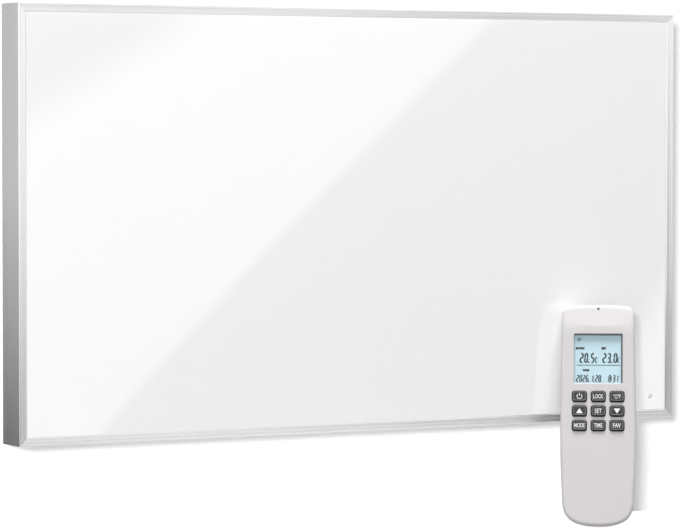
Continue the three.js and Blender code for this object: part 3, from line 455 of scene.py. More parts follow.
def tinted(tree, base, factor):
    """A colour made darker or lighter by a factor."""
    mixed = add(tree, "ShaderNodeVectorMath", {0: base, "Scale": factor}, operation="SCALE")
    return mixed.outputs[0]


def grain_group():
    """Fine grain over soft mottling, for plastics, rubbers, enamels and boards."""
    tree, given, made = node_group(
        "grain",
        [
            ("Vector", "Vector", None),
            ("Color", "Color", (0.5, 0.5, 0.5, 1)),
            ("Grain", "Float", 1500.0),
            ("Mottle", "Float", 25.0),
            ("Shade", "Float", 0.05),
            ("Roughness", "Float", 0.4),
            ("Spread", "Float", 0.08),
        ],
        [("Color", "Color"), ("Roughness", "Float"), ("Height", "Float")],
    )
    fine = add(tree, "ShaderNodeTexNoise", {"Vector": given["Vector"], "Scale": given["Grain"], "Detail": 3.0})
    soft = add(tree, "ShaderNodeTexNoise", {"Vector": given["Vector"], "Scale": given["Mottle"], "Detail": 4.0})
    shade = about(tree, soft.outputs[0], 1.0, given["Shade"])
    tree.links.new(tinted(tree, given["Color"], shade), made["Color"])
    tree.links.new(about(tree, fine.outputs[0], given["Roughness"], given["Spread"]), made["Roughness"])
    tree.links.new(fine.outputs[0], made["Height"])
    return tree


def streak_group():
    """Long brush marks: two noises, one fine and one broad, on coordinates stretched along the marks."""
    tree, given, made = node_group(
        "streaks",
        [
            ("Vector", "Vector", None),
            ("Color", "Color", (0.8, 0.8, 0.8, 1)),
            ("Shade", "Float", 0.1),
            ("Roughness", "Float", 0.3),
            ("Spread", "Float", 0.1),
        ],
        [("Color", "Color"), ("Roughness", "Float"), ("Height", "Float")],
    )
    marks = {"Vector": given["Vector"], "Scale": 1.0, "Detail": 5.0, "Roughness": 0.7}
    fine = add(tree, "ShaderNodeTexNoise", marks)
    wide = add(tree, "ShaderNodeTexNoise", {"Vector": given["Vector"], "Scale": 0.22, "Detail": 2.0})
    blend = add(tree, "ShaderNodeMath", {0: fine.outputs[0], 1: wide.outputs[0]}, operation="ADD").outputs[0]
    blend = add(tree, "ShaderNodeMath", {0: blend, 1: 0.5}, operation="MULTIPLY").outputs[0]
    sharp = add(tree, "ShaderNodeMapRange", {"Value": blend, "From Min": 0.3, "From Max": 0.7}).outputs[0]
    low = add(tree, "ShaderNodeMath", {0: 1.0, 1: given["Shade"]}, operation="SUBTRACT").outputs[0]
    tree.links.new(tinted(tree, given["Color"], scaled(tree, sharp, low, 1.0)), made["Color"])
    tree.links.new(about(tree, sharp, given["Roughness"], given["Spread"]), made["Roughness"])
    tree.links.new(sharp, made["Height"])
    return tree


def spangle_group():
    """Zinc spangle: each cell of a Voronoi pattern has its own shade and gloss."""
    tree, given, made = node_group(
        "spangle",
        [
            ("Vector", "Vector", None),
            ("Color", "Color", (0.6, 0.6, 0.6, 1)),
            ("Size", "Float", 160.0),
            ("Shade", "Float", 0.12),
            ("Roughness", "Float", 0.4),
        ],
        [("Color", "Color"), ("Roughness", "Float"), ("Height", "Float")],
    )
    bent = add(tree, "ShaderNodeTexNoise", {"Vector": given["Vector"], "Scale": 90.0, "Detail": 2.0})
    shift = add(tree, "ShaderNodeVectorMath", {0: bent.outputs["Color"], "Scale": 0.006}, operation="SCALE")
    where = add(tree, "ShaderNodeVectorMath", {0: given["Vector"], 1: shift.outputs[0]}, operation="ADD")
    cell = add(tree, "ShaderNodeTexVoronoi", {"Vector": where.outputs[0], "Scale": given["Size"]})
    value = add(tree, "ShaderNodeSeparateColor", {0: cell.outputs["Color"]}).outputs[0]
    tree.links.new(tinted(tree, given["Color"], about(tree, value, 1.0, given["Shade"])), made["Color"])
    tree.links.new(about(tree, value, given["Roughness"], 0.07), made["Roughness"])
    fine = add(tree, "ShaderNodeTexNoise", {"Vector": given["Vector"], "Scale": 900.0, "Detail": 2.0})
    tree.links.new(fine.outputs[0], made["Height"])
    return tree


def finish(name, group, values, bump=0.0, distance=0.05 * MM, stretch=None, **shader):
    """A material whose colour, roughness and bump come from a group on Object coordinates.

    values set the group's sockets, stretch scales the coordinates along each axis, and shader sets sockets of the
    Principled BSDF that are the same all over.
    """
    material = bpy.data.materials.new(name)
    material.use_nodes = True
    tree = material.node_tree
    principled = tree.nodes["Principled BSDF"]
    vector = add(tree, "ShaderNodeTexCoord").outputs["Object"]
    if stretch:
        vector = add(tree, "ShaderNodeMapping", {"Vector": vector, "Scale": stretch}).outputs[0]
    pattern = add(tree, "ShaderNodeGroup", node_tree=bpy.data.node_groups[group])
    tree.links.new(vector, pattern.inputs["Vector"])
    for key, value in values.items():
        pattern.inputs[key].default_value = value
    tree.links.new(pattern.outputs["Color"], principled.inputs["Base Color"])
    tree.links.new(pattern.outputs["Roughness"], principled.inputs["Roughness"])
    if bump:
        relief = add(
            tree,
            "ShaderNodeBump",
            {"Height": pattern.outputs["Height"], "Strength": bump, "Distance": distance},
        )
        tree.links.new(relief.outputs[0], principled.inputs["Normal"])
    for key, value in shader.items():
        principled.inputs[key.replace("_", " ")].default_value = value
    return material


def opaque(value):
    return (*value, 1.0)


def grained(name, value, roughness, grain=1500.0, shade=0.05, spread=0.06, mottle=25.0, bump=0.15, **shader):
    values = {
        "Color": opaque(value),
        "Grain": grain,
        "Mottle": mottle,
        "Shade": shade,
        "Roughness": roughness,
        "Spread": spread,
    }
    return finish(name, "grain", values, bump, **shader)


def brushed(name, value, roughness, stretch, shade=0.12, spread=0.08, bump=0.12, **shader):
    values = {"Color": opaque(value), "Shade": shade, "Roughness": roughness, "Spread": spread}
    return finish(name, "streaks", values, bump, stretch=stretch, Metallic=1.0, **shader)


def spangled(name, value, roughness, size=160.0, shade=0.12):
    values = {"Color": opaque(value), "Size": size, "Shade": shade, "Roughness": roughness}
    return finish(name, "spangle", values, 0.08, Metallic=1.0)


def mixed_by(material, mask, value, low=0.0, high=1.0):
    """Mixes a second colour into a material where a mask attribute of the piece rises from low to high."""
    tree = material.node_tree
    principled = tree.nodes["Principled BSDF"]
    source = principled.inputs["Base Color"].links[0].from_socket
    attribute = add(tree, "ShaderNodeAttribute", attribute_name=mask)
    factor = add(
        tree,
        "ShaderNodeMapRange",
        {"Value": attribute.outputs["Fac"], "From Min": low, "From Max": high},
    )
    blend = add(tree, "ShaderNodeMix", data_type="RGBA")
    tree.links.new(factor.outputs[0], blend.inputs[0])
    tree.links.new(source, blend.inputs[6])
    blend.inputs[7].default_value = opaque(value)
    tree.links.new(blend.outputs[2], principled.inputs["Base Color"])
    return material


def material(name):
    return bpy.data.materials[name]


class HEATER_OT_finishes(bpy.types.Operator):
    """Makes every finish of the heater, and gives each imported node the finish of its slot"""

    bl_idname = "heater.finishes"
    bl_label = "Make finishes"

    def execute(self, context):
        tones = sizes(context, "colours")
        for plain in list(bpy.data.materials):
            bpy.data.materials.remove(plain)
        grain_group()
        streak_group()
        spangle_group()
        upright = dict(stretch=(700, 700, 5), Anisotropic=0.75)
        level = dict(stretch=(5, 700, 700), Anisotropic=0.75, Anisotropic_Rotation=0.25)
        brushed("frame_aluminium", tones.aluminium, 0.36, **upright)
        brushed("frame_aluminium_level", tones.aluminium, 0.36, **level)
        grained("white_glass", tones.glass, 0.045, 60.0, 0.006, 0.01, 6.0, 0.004, IOR=1.85)
        grained("white_plastic", tones.shell, 0.55, 2600.0, 0.02, 0.05, 30.0, 0.12)
        keys = grained("key_rubber", tones.key, 0.65, 3000.0, 0.06, 0.08, 60.0, 0.12, Specular_IOR_Level=0.25)
        # Painted highlight: the rim mask mixes a lighter grey onto the key's raised rim, where a line of light
        # would catch.
        mixed_by(keys, "rim", (0.24, 0.24, 0.25))
        # Painted shade: the wall mask mixes near-black onto the key's side walls, which face away from the light.
        mixed_by(keys, "wall", (0.008, 0.008, 0.009))
        grained("legend_print", tones.legend, 0.5, 2500.0, 0.04, 0.05)
        grained("display_glass", tones.display, 0.6, 900.0, 0.03, 0.03, 40.0, 0.02, Specular_IOR_Level=0.2)
        grained("display_ink", tones.ink, 0.6, 2000.0, 0.1, 0.04, Specular_IOR_Level=0.1)
        # display_shade is a painted shadow: dark strips along the display recess's top and right edges.
        grained("display_shade", (0.10, 0.12, 0.135), 0.6, 2000.0, 0.08, 0.04)
        grained("display_window", (0.9, 0.95, 0.97), 0.03, 300.0, 0.01, 0.01, 10.0, 0.0, Alpha=0.03)
        grained("black_plastic", tones.black, 0.5, 1800.0, 0.15, 0.08, 40.0, 0.35)
        grained("black_rubber", tones.black, 0.72, 1400.0, 0.2, 0.08, 60.0, 0.3)
        grained("mat_rubber", (0.26, 0.27, 0.28), 0.75, 1600.0, 0.08, 0.06)
        grained("seal_silicone", (0.045, 0.045, 0.05), 0.7, 800.0, 0.1, 0.06)
        grained("status_lens", (0.74, 0.76, 0.78), 0.2, 500.0, 0.03, 0.02, 60.0, 0.01, Coat_Weight=0.5)
        grained("circuit_board", (0.02, 0.11, 0.055), 0.35, 500.0, 0.2, 0.08, 120.0, 0.1)
        grained("relay_plastic", (0.02, 0.09, 0.32), 0.3, 900.0, 0.08, 0.05)
        grained("terminal_plastic", (0.75, 0.75, 0.72), 0.45, 1100.0, 0.05, 0.05)
        grained("insulation", (0.70, 0.60, 0.38), 0.95, 420.0, 0.25, 0.04, 70.0, 0.9)
        grained("carbon_film", (0.02, 0.02, 0.022), 0.5, 700.0, 0.3, 0.1, 30.0, 0.1)
        grained("emitter_plastic", (0.03, 0.015, 0.045), 0.08, 500.0, 0.05, 0.02, 50.0, 0.0, Coat_Weight=0.6)
        grained("zinc", (0.42, 0.43, 0.44), 0.5, 700.0, 0.12, 0.1, 60.0, 0.2, Metallic=1.0)
        brushed("copper", (0.72, 0.36, 0.18), 0.32, (900, 900, 20))
        grained("foil", (0.86, 0.87, 0.88), 0.2, 120.0, 0.05, 0.08, 40.0, 0.4, Metallic=1.0)
        spangled("sheet_steel", tones.steel, 0.42)
        grained("screw_steel", (0.52, 0.53, 0.55), 0.3, 1500.0, 0.12, 0.1, 200.0, 0.1, Metallic=1.0)
        grained("contact_steel", (0.75, 0.73, 0.68), 0.25, 900.0, 0.08, 0.08, 80.0, 0.05, Metallic=1.0)
        cell = grained("battery_can", (0.03, 0.035, 0.05), 0.28, 900.0, 0.1, 0.06, 40.0, 0.02, Metallic=0.3)
        mixed_by(cell, "band", (0.62, 0.36, 0.1), 0.4, 0.6)
        mixed_by(cell, "bare", (0.66, 0.66, 0.67), 0.4, 0.6)
        for node, item in NODES.items():
            item.data.materials.clear()
            item.data.materials.append(material(SLOTS[node]))
        return {"FINISHED"}


# The frame --------------------------------------------------------------------


def bar_section(s):
    """The bar's section, closed: across is inward from the outside face, deep is back from the front face."""
    depth = PANEL_HIGH.y - FRONT
    ridge_end = s.bead + s.groove + s.ridge
    corners = [
        ((0, 0), 0.7),
        ((s.bead, 0), 0.3),
        ((s.bead + s.groove / 2, s.groove_depth), 0.12),
        ((s.bead + s.groove, 0), 0.2),
        ((ridge_end, 0), 0.25),
        ((ridge_end + s.step, s.step), 0.15),
        ((s.face - s.bevel, s.step), 0.4),
        ((s.face, s.step + s.bevel), 0.3),
        ((s.face, s.lip), 0.15),
        ((s.wall, s.lip), 0.3),
        ((s.wall, depth - s.wall), 0.3),
        ((s.flange, depth - s.wall), 0.2),
        ((s.flange, depth), 0.3),
        ((0, depth), 0.6),
    ]
    return rounded([point for point, _ in corners], [radius * MM for _, radius in corners], 5)


def bar_shell(s, side):
    """A mitred bar: its section carried along the side, each point ending at 45 degrees.

    A point that lies a inward of the outside face ends at half the side's length, less a, less half the gap.
    """
    section = bar_section(s)
    x_half = (PANEL_HIGH.x - PANEL_LOW.x) / 2
    z_half = (PANEL_HIGH.z - PANEL_LOW.z) / 2
    middle = (PANEL_HIGH.z + PANEL_LOW.z) / 2
    half = z_half if side in ("left", "right") else x_half
    across, deep = section.T
    end = half - across - s.mitre_gap / 2
    run = end[None] * np.array([-1.0, 1.0])[:, None]
    across = np.broadcast_to(across, run.shape)
    deep = np.broadcast_to(deep, run.shape) + FRONT
    if side == "left":
        rings = np.stack([across - x_half, deep, run + middle], -1)
    elif side == "right":
        rings = np.stack([x_half - across, deep, run + middle], -1)
    elif side == "top":
        rings = np.stack([run, deep, middle + z_half - across], -1)
    else:
        rings = np.stack([run, deep, middle - z_half + across], -1)
    return capped(rings)


class HEATER_OT_frame(bpy.types.Operator):
    """Builds the four mitred frame bars"""

    bl_idname = "heater.frame"
    bl_label = "Build frame bars"

    def execute(self, context):
        s = sizes(context, "panel")
        for side in ("left", "right", "top", "bottom"):
            finish_name = "frame_aluminium" if side in ("left", "right") else "frame_aluminium_level"
            node = "frame_" + side
            build(f"bar_{side}", [bar_shell(s, side)], BODIES[node], material(finish_name), [node], sharp=35.0)
        return {"FINISHED"}


# The status window ------------------------------------------------------------


class HEATER_OT_status_window(bpy.types.Operator):
    """Builds the light pipe in the corner of the glass"""

    bl_idname = "heater.status_window"
    bl_label = "Build status window"

    def execute(self, context):
        low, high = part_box("status_lens")
        x, z = (low.x + high.x) / 2, (low.z + high.z) / 2
        depth = high.y - low.y
        radius, flange = 1.65 * MM, (high.x - low.x) / 2
        seat = depth - 0.6 * MM
        dome = np.linspace(0, math.pi / 2, 6)
        crown = np.stack([radius * np.cos(dome), -depth + 0.35 * MM * (1 - np.sin(dome))], 1)
        rows = [(TINY, 0), (flange, 0), (flange, -depth + seat), (radius, -depth + seat)]
        profile = np.concatenate([rows, crown[:-1], [[TINY, -depth]]])
        place = Matrix.Translation((x, high.y, z)) @ Matrix.Rotation(-math.pi / 2, 4, "X")
        build("light_pipe", [turned(profile)], "panel", material("status_lens"), ["status_lens"], matrix=place)
        return {"FINISHED"}


# The back of the panel --------------------------------------------------------


def ribbed_plate(s):
    """The rear plate: a flat sheet whose wall side rises in long ribs.

    At each point the rise is the rib height times a smooth step of how deep the point lies inside a rib's
    stadium outline.
    """
    low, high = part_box("rear_plate")
    x = np.linspace(low.x, high.x, 166)
    z = np.linspace(low.z, high.z, 125)
    grid_x, grid_z = np.meshgrid(x, z)
    rise = np.zeros_like(grid_x)
    half, slope = 7 * MM, 5 * MM
    for centre_z in (-80 * MM, -130 * MM, -180 * MM, -230 * MM):
        over = np.maximum(np.abs(grid_x + 96 * MM) - 150 * MM, 0)
        inside = np.clip((half + slope - np.hypot(over, grid_z - centre_z)) / slope, 0, 1)
        rise = np.maximum(rise, inside * inside * (3 - 2 * inside))
    back = np.stack([grid_x, high.y + s.rib_height * rise, grid_z], -1).reshape(-1, 3)
    front = np.stack([grid_x, np.full_like(grid_x, low.y), grid_z], -1).reshape(-1, 3)
    rows, columns = grid_x.shape
    faces = grid_faces(rows, columns, wrap=False)
    count = rows * columns
    index = np.arange(count).reshape(rows, columns)
    rim = np.concatenate([index[0], index[1:, -1], index[-1, -2::-1], index[-2:0:-1, 0]])
    after = np.roll(rim, -1)
    sides = np.stack([rim, after, after + count, rim + count], -1)
    return np.concatenate([back, front]), faces.tolist() + (faces[:, ::-1] + count).tolist() + sides.tolist()


def strip_shell(points, radii, half):
    """A bent strip: its section, given as distance from the wall and height, carried along X."""
    section = rounded(points, [radius * MM for radius in radii], 5)
    run = np.array([-half, half])[:, None]
    rings = np.stack(
        [
            np.broadcast_to(run, (2, len(section))),
            np.broadcast_to(-section[:, 0], (2, len(section))),
            np.broadcast_to(section[:, 1], (2, len(section))),
        ],
        -1,
    )
    return capped(rings)


def rail_points(s):
    low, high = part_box("wall_rail")
    front, web = -low.y, 4 * MM
    t = s.sheet
    return [
        (0, low.z),
        (t, low.z),
        (t, web - t),
        (front, web - t),
        (front, high.z),
        (front - t, high.z),
        (front - t, web),
        (0, web),
    ]


def hanger_points(s):
    low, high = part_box("hanger_bracket")
    front, back = -low.y, -high.y
    t = s.sheet
    bottom = 4.3 * MM
    return [
        (front, low.z),
        (front, high.z),
        (back, high.z),
        (back, bottom),
        (back + t, bottom),
        (back + t, high.z - t),
        (front - t, high.z - t),
        (front - t, low.z),
    ]


class HEATER_OT_back(bpy.types.Operator):
    """Builds the rear plate, the wall rail, the hanger bracket and the control box"""

    bl_idname = "heater.back"
    bl_label = "Build back"

    def execute(self, context):
        s = sizes(context, "panel")
        steel = material("sheet_steel")
        build("plate_pressed", [ribbed_plate(s)], "panel", steel, ["rear_plate"], sharp=40.0)
        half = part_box("wall_rail")[1].x
        rail = strip_shell(rail_points(s), (0.3, 0.3, 0.8, 2.8, 0.3, 0.3, 0.8, 2.8), half)
        build("rail_bent", [rail], "wall_mount", steel, ["wall_rail"])
        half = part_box("hanger_bracket")[1].x
        hanger = strip_shell(hanger_points(s), (0.3, 2.8, 2.8, 0.3, 0.3, 0.8, 0.8, 0.3), half)
        build("hanger_bent", [hanger], "panel", steel, ["hanger_bracket"])
        softened("control_box", material("black_plastic"), 0.5 * MM)
        softened("control_box_cover", material("black_plastic"), 0.3 * MM)
        return {"FINISHED"}


# Screws, bumpers and gland ----------------------------------------------------


def screw_shell(head, rise, shank, reach):
    """A cross-head screw about Z, its head rising from 0.

    The head's height at radius r is a flattened dome, rise * (1 - (r / head)^4 / 2), less the cross. The cross is
    as deep as a smooth step of the distance inside either arm.
    """
    r = np.linspace(0, 1, 22) ** 0.8 * head
    a = np.linspace(0, 2 * math.pi, 64, endpoint=False)
    radius, turn = np.meshgrid(r, a, indexing="ij")
    x, y = radius * np.cos(turn), radius * np.sin(turn)
    height = rise * (1 - 0.5 * (radius / head) ** 4)
    arm, half = 0.62 * head, 0.13 * head
    first = np.minimum(arm - np.abs(x), half - np.abs(y))
    second = np.minimum(arm - np.abs(y), half - np.abs(x))
    inside = np.clip(np.maximum(first, second) / (0.08 * head) + 0.5, 0, 1)
    height = height - 0.62 * rise * inside * inside * (3 - 2 * inside)
    top = np.stack([x, y, height], -1)
    ring = np.stack([np.cos(a), np.sin(a)], 1)
    lower = [(head, 0.0), (shank, 0.0), (shank, -reach + shank / 2), (shank / 2, -reach)]
    rows = [np.concatenate([radius * ring, np.full((64, 1), level)], 1)[None] for radius, level in lower]
    return capped(np.concatenate([top, *rows]))


def bumper_shell(radius, tip, length_out, stem, stem_length):
    """A rubber foot about Z with a round lip and a shallow hollow in its tip."""
    lip = quarter(1.6 * MM, 0, length_out, 6)
    wall = np.stack([tip - lip[:, 0], lip[:, 1]], 1)
    rows = [(TINY, -stem_length), (stem, -stem_length), (stem, 0), (radius - 0.6 * MM, 0), (radius, 0.6 * MM)]
    hollow = [
        (tip - 3 * MM, length_out - 0.1 * MM),
        (tip - 3.6 * MM, length_out - 0.9 * MM),
        (TINY, length_out - MM),
    ]
    return turned(np.concatenate([rows, wall, hollow]), 40)


def gland_shell(length_down):
    """The cord gland about Z, from its neck at 0 down its tapered, ribbed tail.

    The tail's radius falls evenly and swells by a small wave once for each rib.
    """
    t = np.linspace(0, 1, 41)
    tail_top, tail_end = 6.4 * MM, length_down
    level = tail_top + (tail_end - tail_top) * t
    radius = (6.6 - 0.9 * t) * MM + 0.25 * MM * np.cos(t * 2 * math.pi * 5)
    tail = np.stack([radius, -level], 1)
    bore = 3.6 * MM
    neck_and_collar = np.array([(3.6, 8.3), (5.8, 8.3), (5.8, -0.3), (7.2, -0.3), (7.6, -0.7), (7.6, -4.9), (7.2, -5.3)])
    profile = np.concatenate([neck_and_collar * MM, tail, [[5.2 * MM, -tail_end], [bore, -tail_end]]])
    vertices, faces = turned(profile, 36)
    columns, last = 36, len(profile) - 1
    ring = np.arange(columns)
    after = (ring + 1) % columns
    bore_faces = np.stack([last * columns + ring, last * columns + after, after, ring], -1)
    return vertices, faces[:-2] + bore_faces.tolist()


class HEATER_OT_fittings(bpy.types.Operator):
    """Builds the screws, the wall bumpers and the cord gland"""

    bl_idname = "heater.fittings"
    bl_label = "Build fittings"

    def execute(self, context):
        steel = material("screw_steel")
        for node in sorted(NODES):
            if "_screw_" not in node:
                continue
            low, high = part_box(node)
            big = node.startswith("wall_")
            head, rise, shank = (4.6, 2.8, 2.2) if big else (2.9, 1.9, 1.5)
            sign = -1 if big or node.startswith("hanger_") and low.y < -29.5 * MM else 1
            seat = low.y + rise * MM if sign < 0 else high.y - rise * MM
            reach = (high.y - low.y) - rise * MM
            shell = screw_shell(head * MM, rise * MM, shank * MM, reach)
            place = along_y((low.x + high.x) / 2, seat, (low.z + high.z) / 2, sign)
            build(node + "_head", [shell], BODIES[node], steel, [node], matrix=place)
        for side in ("left", "right"):
            node = "wall_bumper_" + side
            low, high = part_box(node)
            stem_length = 1.5 * MM
            shell = bumper_shell(9 * MM, 7 * MM, high.y - low.y - stem_length, 3.5 * MM, stem_length)
            place = along_y((low.x + high.x) / 2, low.y + stem_length, (low.z + high.z) / 2)
            build(node + "_foot", [shell], "panel", material("black_rubber"), [node], matrix=place)
        low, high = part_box("cable_gland")
        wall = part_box("control_box")[0].z
        middle = ((low.x + high.x) / 2, (low.y + high.y) / 2, wall)
        shell = gland_shell(wall - low.z)
        rubber = material("black_rubber")
        build("gland_ribbed", [shell], "panel", rubber, ["cable_gland"], matrix=Matrix.Translation(middle))
        return {"FINISHED"}


# The hand control -------------------------------------------------------------


def control_outline(s, steps=22):
    """The hand control's outline, counter-clockwise from the middle of its foot.

    Each side is five cubic curves, (1-t)^3 P0 + 3 (1-t)^2 t P1 + 3 (1-t) t^2 P2 + t^3 P3, and the left side is the
    right side mirrored.
    """
    foot, head = -s.height / 2, s.height / 2
    rise, radius, bow, waist = 22 * MM, 7.2 * MM, 1 * MM, -13 * MM
    shoulder, brow = head - radius, head - bow
    pull = 0.4 * radius
    lower, upper = (s.foot + s.waist) / 2, (s.waist + s.head) / 2
    curves = np.array(
        [
            [(0, foot), (0.62 * s.foot, foot), (0.975 * s.foot, foot + 0.2 * rise), (s.foot, foot + rise)],
            [(s.foot, foot + rise), (lower, foot + 2 * rise), (s.waist, -2 * rise), (s.waist, waist)],
            [(s.waist, waist), (s.waist, waist + rise), (upper, shoulder - 2 * rise), (s.head, shoulder - bow)],
            [(s.head, shoulder - bow), (s.head, brow - pull), (s.head - pull, brow), (s.head - radius, brow)],
            [(s.head - radius, brow), (s.head - 2 * radius, head), (radius, head), (0, head)],
        ]
    )
    t = np.linspace(0, 1, steps, endpoint=False)[:, None]
    weights = np.stack([(1 - t) ** 3, 3 * (1 - t) ** 2 * t, 3 * (1 - t) * t**2, t**3], 1)
    right = (weights[None] * curves[:, None]).sum(2).reshape(-1, 2)
    left = np.concatenate([[[0, head]], right[:0:-1] * [-1, 1]])
    return np.concatenate([right, left])


def control_rings(s, inset, face, edge, sloped, steps=9, fill=34):
    """Rings (k, n, 3) of one skin of a shell, from the parting line out to the middle of the face.

    First come the side wall and a quarter round of radius edge. Then the ring is drawn towards a spine along the
    middle: point + (spine - point) * w for w from 0 to 1, where a point's spine is the nearest place on the line
    between the two spine ends. Last, near the head every level is lowered in proportion, by
    drop * softplus((y - start) / soft) * soft / slope.
    """
    outline = control_outline(s)
    normals = normals_of(outline)
    profile = np.concatenate([[[inset, 0.15 * MM]], quarter(edge, inset, face, steps)])
    walls = outline[None] - profile[:, 0][:, None, None] * normals[None]
    levels = np.repeat(profile[:, 1][:, None], len(outline), 1)
    last = walls[-1]
    spine = np.stack([np.zeros(len(last)), np.clip(last[:, 1], -70 * MM, 72 * MM)], 1)
    w = np.linspace(0, 1, fill + 1)[1:][:, None, None]
    fills = last[None] + (spine - last)[None] * w
    flat = np.concatenate([walls, fills])
    level = np.concatenate([levels, np.full((fill, len(outline)), face)])
    if sloped:
        start, soft = s.height / 2 - s.slope, 0.5 * MM
        past = np.logaddexp(0, (flat[..., 1] - start) / soft) * soft
        level = level * (1 - s.slope_drop * past / s.slope / face)
    return np.concatenate([flat, level[..., None]], -1)


def control_shell(s, sloped):
    """A hollow half of the hand control: the outer skin from its middle out to the parting line, then the inner
    skin back to its middle."""
    face = s.depth / 2
    outer = control_rings(s, 0.0, face, s.edge, sloped)
    inner = control_rings(s, s.wall, face - s.wall, s.edge - s.wall / 2, sloped, steps=5, fill=12)
    groove = outer[:1].copy()
    outer[0, :, 2] += 0.3 * MM
    normals = normals_of(outer[0, :, :2])
    groove[0, :, :2] -= 0.25 * MM * normals
    rings = np.concatenate([outer[::-1], groove, inner])
    return rings.reshape(-1, 3), grid_faces(*rings.shape[:2]).tolist()


def key_middle(s, index):
    pitch_x, pitch_y, middle = 16.9 * MM, 13.1 * MM, 4.1 * MM
    return (index % 3 - 1) * pitch_x, middle + (1 - index // 3) * pitch_y


KEYS = ("power", "lock", "units", "up", "set", "down", "mode", "time", "favourite")


class HEATER_OT_shells(bpy.types.Operator):
    """Builds the two shells of the hand control and the battery cover"""

    bl_idname = "heater.shells"
    bl_label = "Build shells"

    def execute(self, context):
        s = sizes(context, "control")
        place = control_matrix(s)
        plastic = material("white_plastic")
        face = s.depth / 2
        gap = 0.3 * MM
        flare = [(0, face - 3.5 * MM), (0, face - 0.3 * MM), (-0.35 * MM, face + 0.05 * MM), (-1 * MM, face + MM)]
        cuts = []
        for index in range(len(KEYS)):
            x, y = key_middle(s, index)
            outline = rectangle(s.key_width + 2 * gap, s.key_height + 2 * gap, 2.5 * MM, 6, x, y)
            cuts.append(stack(outline, flare))
        wide = [(0, face - 3.5 * MM), (0, face - 0.5 * MM), (-0.6 * MM, face + 0.1 * MM), (-1 * MM, face + MM)]
        cuts.append(stack(rectangle(s.display_width, s.display_height, MM, 6, 0, s.display_middle), wide))
        hole = turned([(TINY, 0), (2.8 * MM, 0), (2.8 * MM, 60 * MM), (TINY, 60 * MM)], 24)
        opening = along_y(0, s.height / 2 - 12 * MM, 2.8 * MM, -1) @ Matrix.Rotation(math.pi, 4, "X")
        cuts.append(moved(hole, opening))
        front = carve(mesh_of("shell_front", [control_shell(s, True)]), removed=cuts)
        front.transform(place)
        dress(front, "handset", plastic, ["handset_front_shell"])

        flip = Matrix.Rotation(math.pi, 4, "Y")
        middle, cover_width, cover_length = -44 * MM, 31 * MM, 59.3 * MM
        inside = -face + 1.6 * MM
        bay_width, bay_length, bay_floor = 21.9 * MM, 51.3 * MM, 0.7 * MM

        def block(width, height, low, high):
            return stack(rectangle(width, height, 0.4 * MM, 2, 0, middle), [(0, low), (0, high)])

        added = [
            block(cover_width + 4.6 * MM, cover_length + 4.6 * MM, inside - gap, inside + gap + 1.8 * MM),
            block(bay_width + 2.4 * MM, bay_length + 2.4 * MM, inside - gap, bay_floor + 1.2 * MM),
        ]
        recess = rectangle(cover_width + 2 * gap, cover_length + 2 * gap, 2.5 * MM, 6, 0, middle)
        flare = [(-1 * MM, -face - MM), (-0.3 * MM, -face - 0.05 * MM), (0, -face + gap), (0, inside + gap)]
        removed = [stack(recess, flare), block(bay_width, bay_length, -face - MM, bay_floor)]
        rear_blank = mesh_of("shell_rear", [moved(control_shell(s, False), flip)])
        rear = carve(rear_blank, added, removed)
        rear.transform(place)
        dress(rear, "handset", plastic, ["handset_rear_shell"])

        outline = rectangle(cover_width, cover_length, 2.5 * MM, 8, 0, middle)
        plate = stack(outline, slab_profile(-face, inside, 0.4 * MM))
        ridge = np.array([(0.5, -0.02), (0.2, 0.05), (0, 0.6), (0, 1)]) * MM - [0, face]
        grips = []
        for row in range(5):
            y = middle + cover_length / 2 - (5 + 2.2 * row) * MM
            grips.append(stack(rectangle(12 * MM, 1.1 * MM, 0.5 * MM, 4, 0, y), ridge))
        dish = turned([(TINY, -MM), (7.2 * MM, -MM), (7.6 * MM, 0), (7 * MM, 0.45 * MM), (TINY, 0.5 * MM)], 40)
        dish = moved(dish, Matrix.Translation((0, middle + cover_length / 2 - 9.4 * MM, -face)))
        cover = carve(mesh_of("cover_ribbed", [plate]), removed=[dish])
        ribs = mesh_of("ribs", grips)
        work = bmesh.new()
        work.from_mesh(cover)
        work.from_mesh(ribs)
        work.to_mesh(cover)
        work.free()
        cover.transform(place)
        dress(cover, "cover", plastic, ["battery_cover"])
        return {"FINISHED"}


def key_shell(s):
    """A key about Z = the hand control's middle plane, with its two masks of painted light: a painted highlight on
    the raised rim and painted shade on the side walls.

    Each ring is the key's outline drawn in, and the top is set a little up the key so that more of the lower wall
    shows. The rim is a low round bead, and the middle is a shallow dish inside it.
    """
    face = s.depth / 2
    top = face + s.key_rise
    rows = [
        (0.0, face - 2.3 * MM, 0.0),
        (0.0, face + 0.25 * MM, 0.0),
        (0.16 * MM, top - 0.75 * MM, 0.15 * MM),
        (0.5 * MM, top - 0.3 * MM, 0.5 * MM),
        (0.7 * MM, top - 0.08 * MM, 0.55 * MM),
        (0.9 * MM, top, 0.55 * MM),
        (1.12 * MM, top - 0.03 * MM, 0.55 * MM),
        (1.35 * MM, top - 0.14 * MM, 0.55 * MM),
        (1.6 * MM, top - 0.18 * MM, 0.55 * MM),
        (2.3 * MM, top - 0.2 * MM, 0.55 * MM),
    ]
    outline = rectangle(s.key_width, s.key_height, 2.4 * MM, 7)
    shell = stack(outline, rows)
    # Painted highlight: the rim mask lightens the crest of the bead in the key's finish.
    rim = np.repeat([0, 0, 0, 0, 0.1, 0.6, 1, 0.35, 0, 0], len(outline))
    # Painted shade: the wall mask darkens the side walls in the key's finish.
    wall = np.repeat([1, 1, 1, 1, 0.35, 0, 0, 0, 0, 0], len(outline))
    return shell, {"rim": rim, "wall": wall}


def arc_plate(radius, width, start, stop, steps=28):
    """A flat band of a circle between two angles, as one outline."""
    t = np.linspace(start, stop, steps)
    ring = np.stack([np.cos(t), np.sin(t)], 1)
    return np.concatenate([ring * (radius + width / 2), ring[::-1] * (radius - width / 2)])


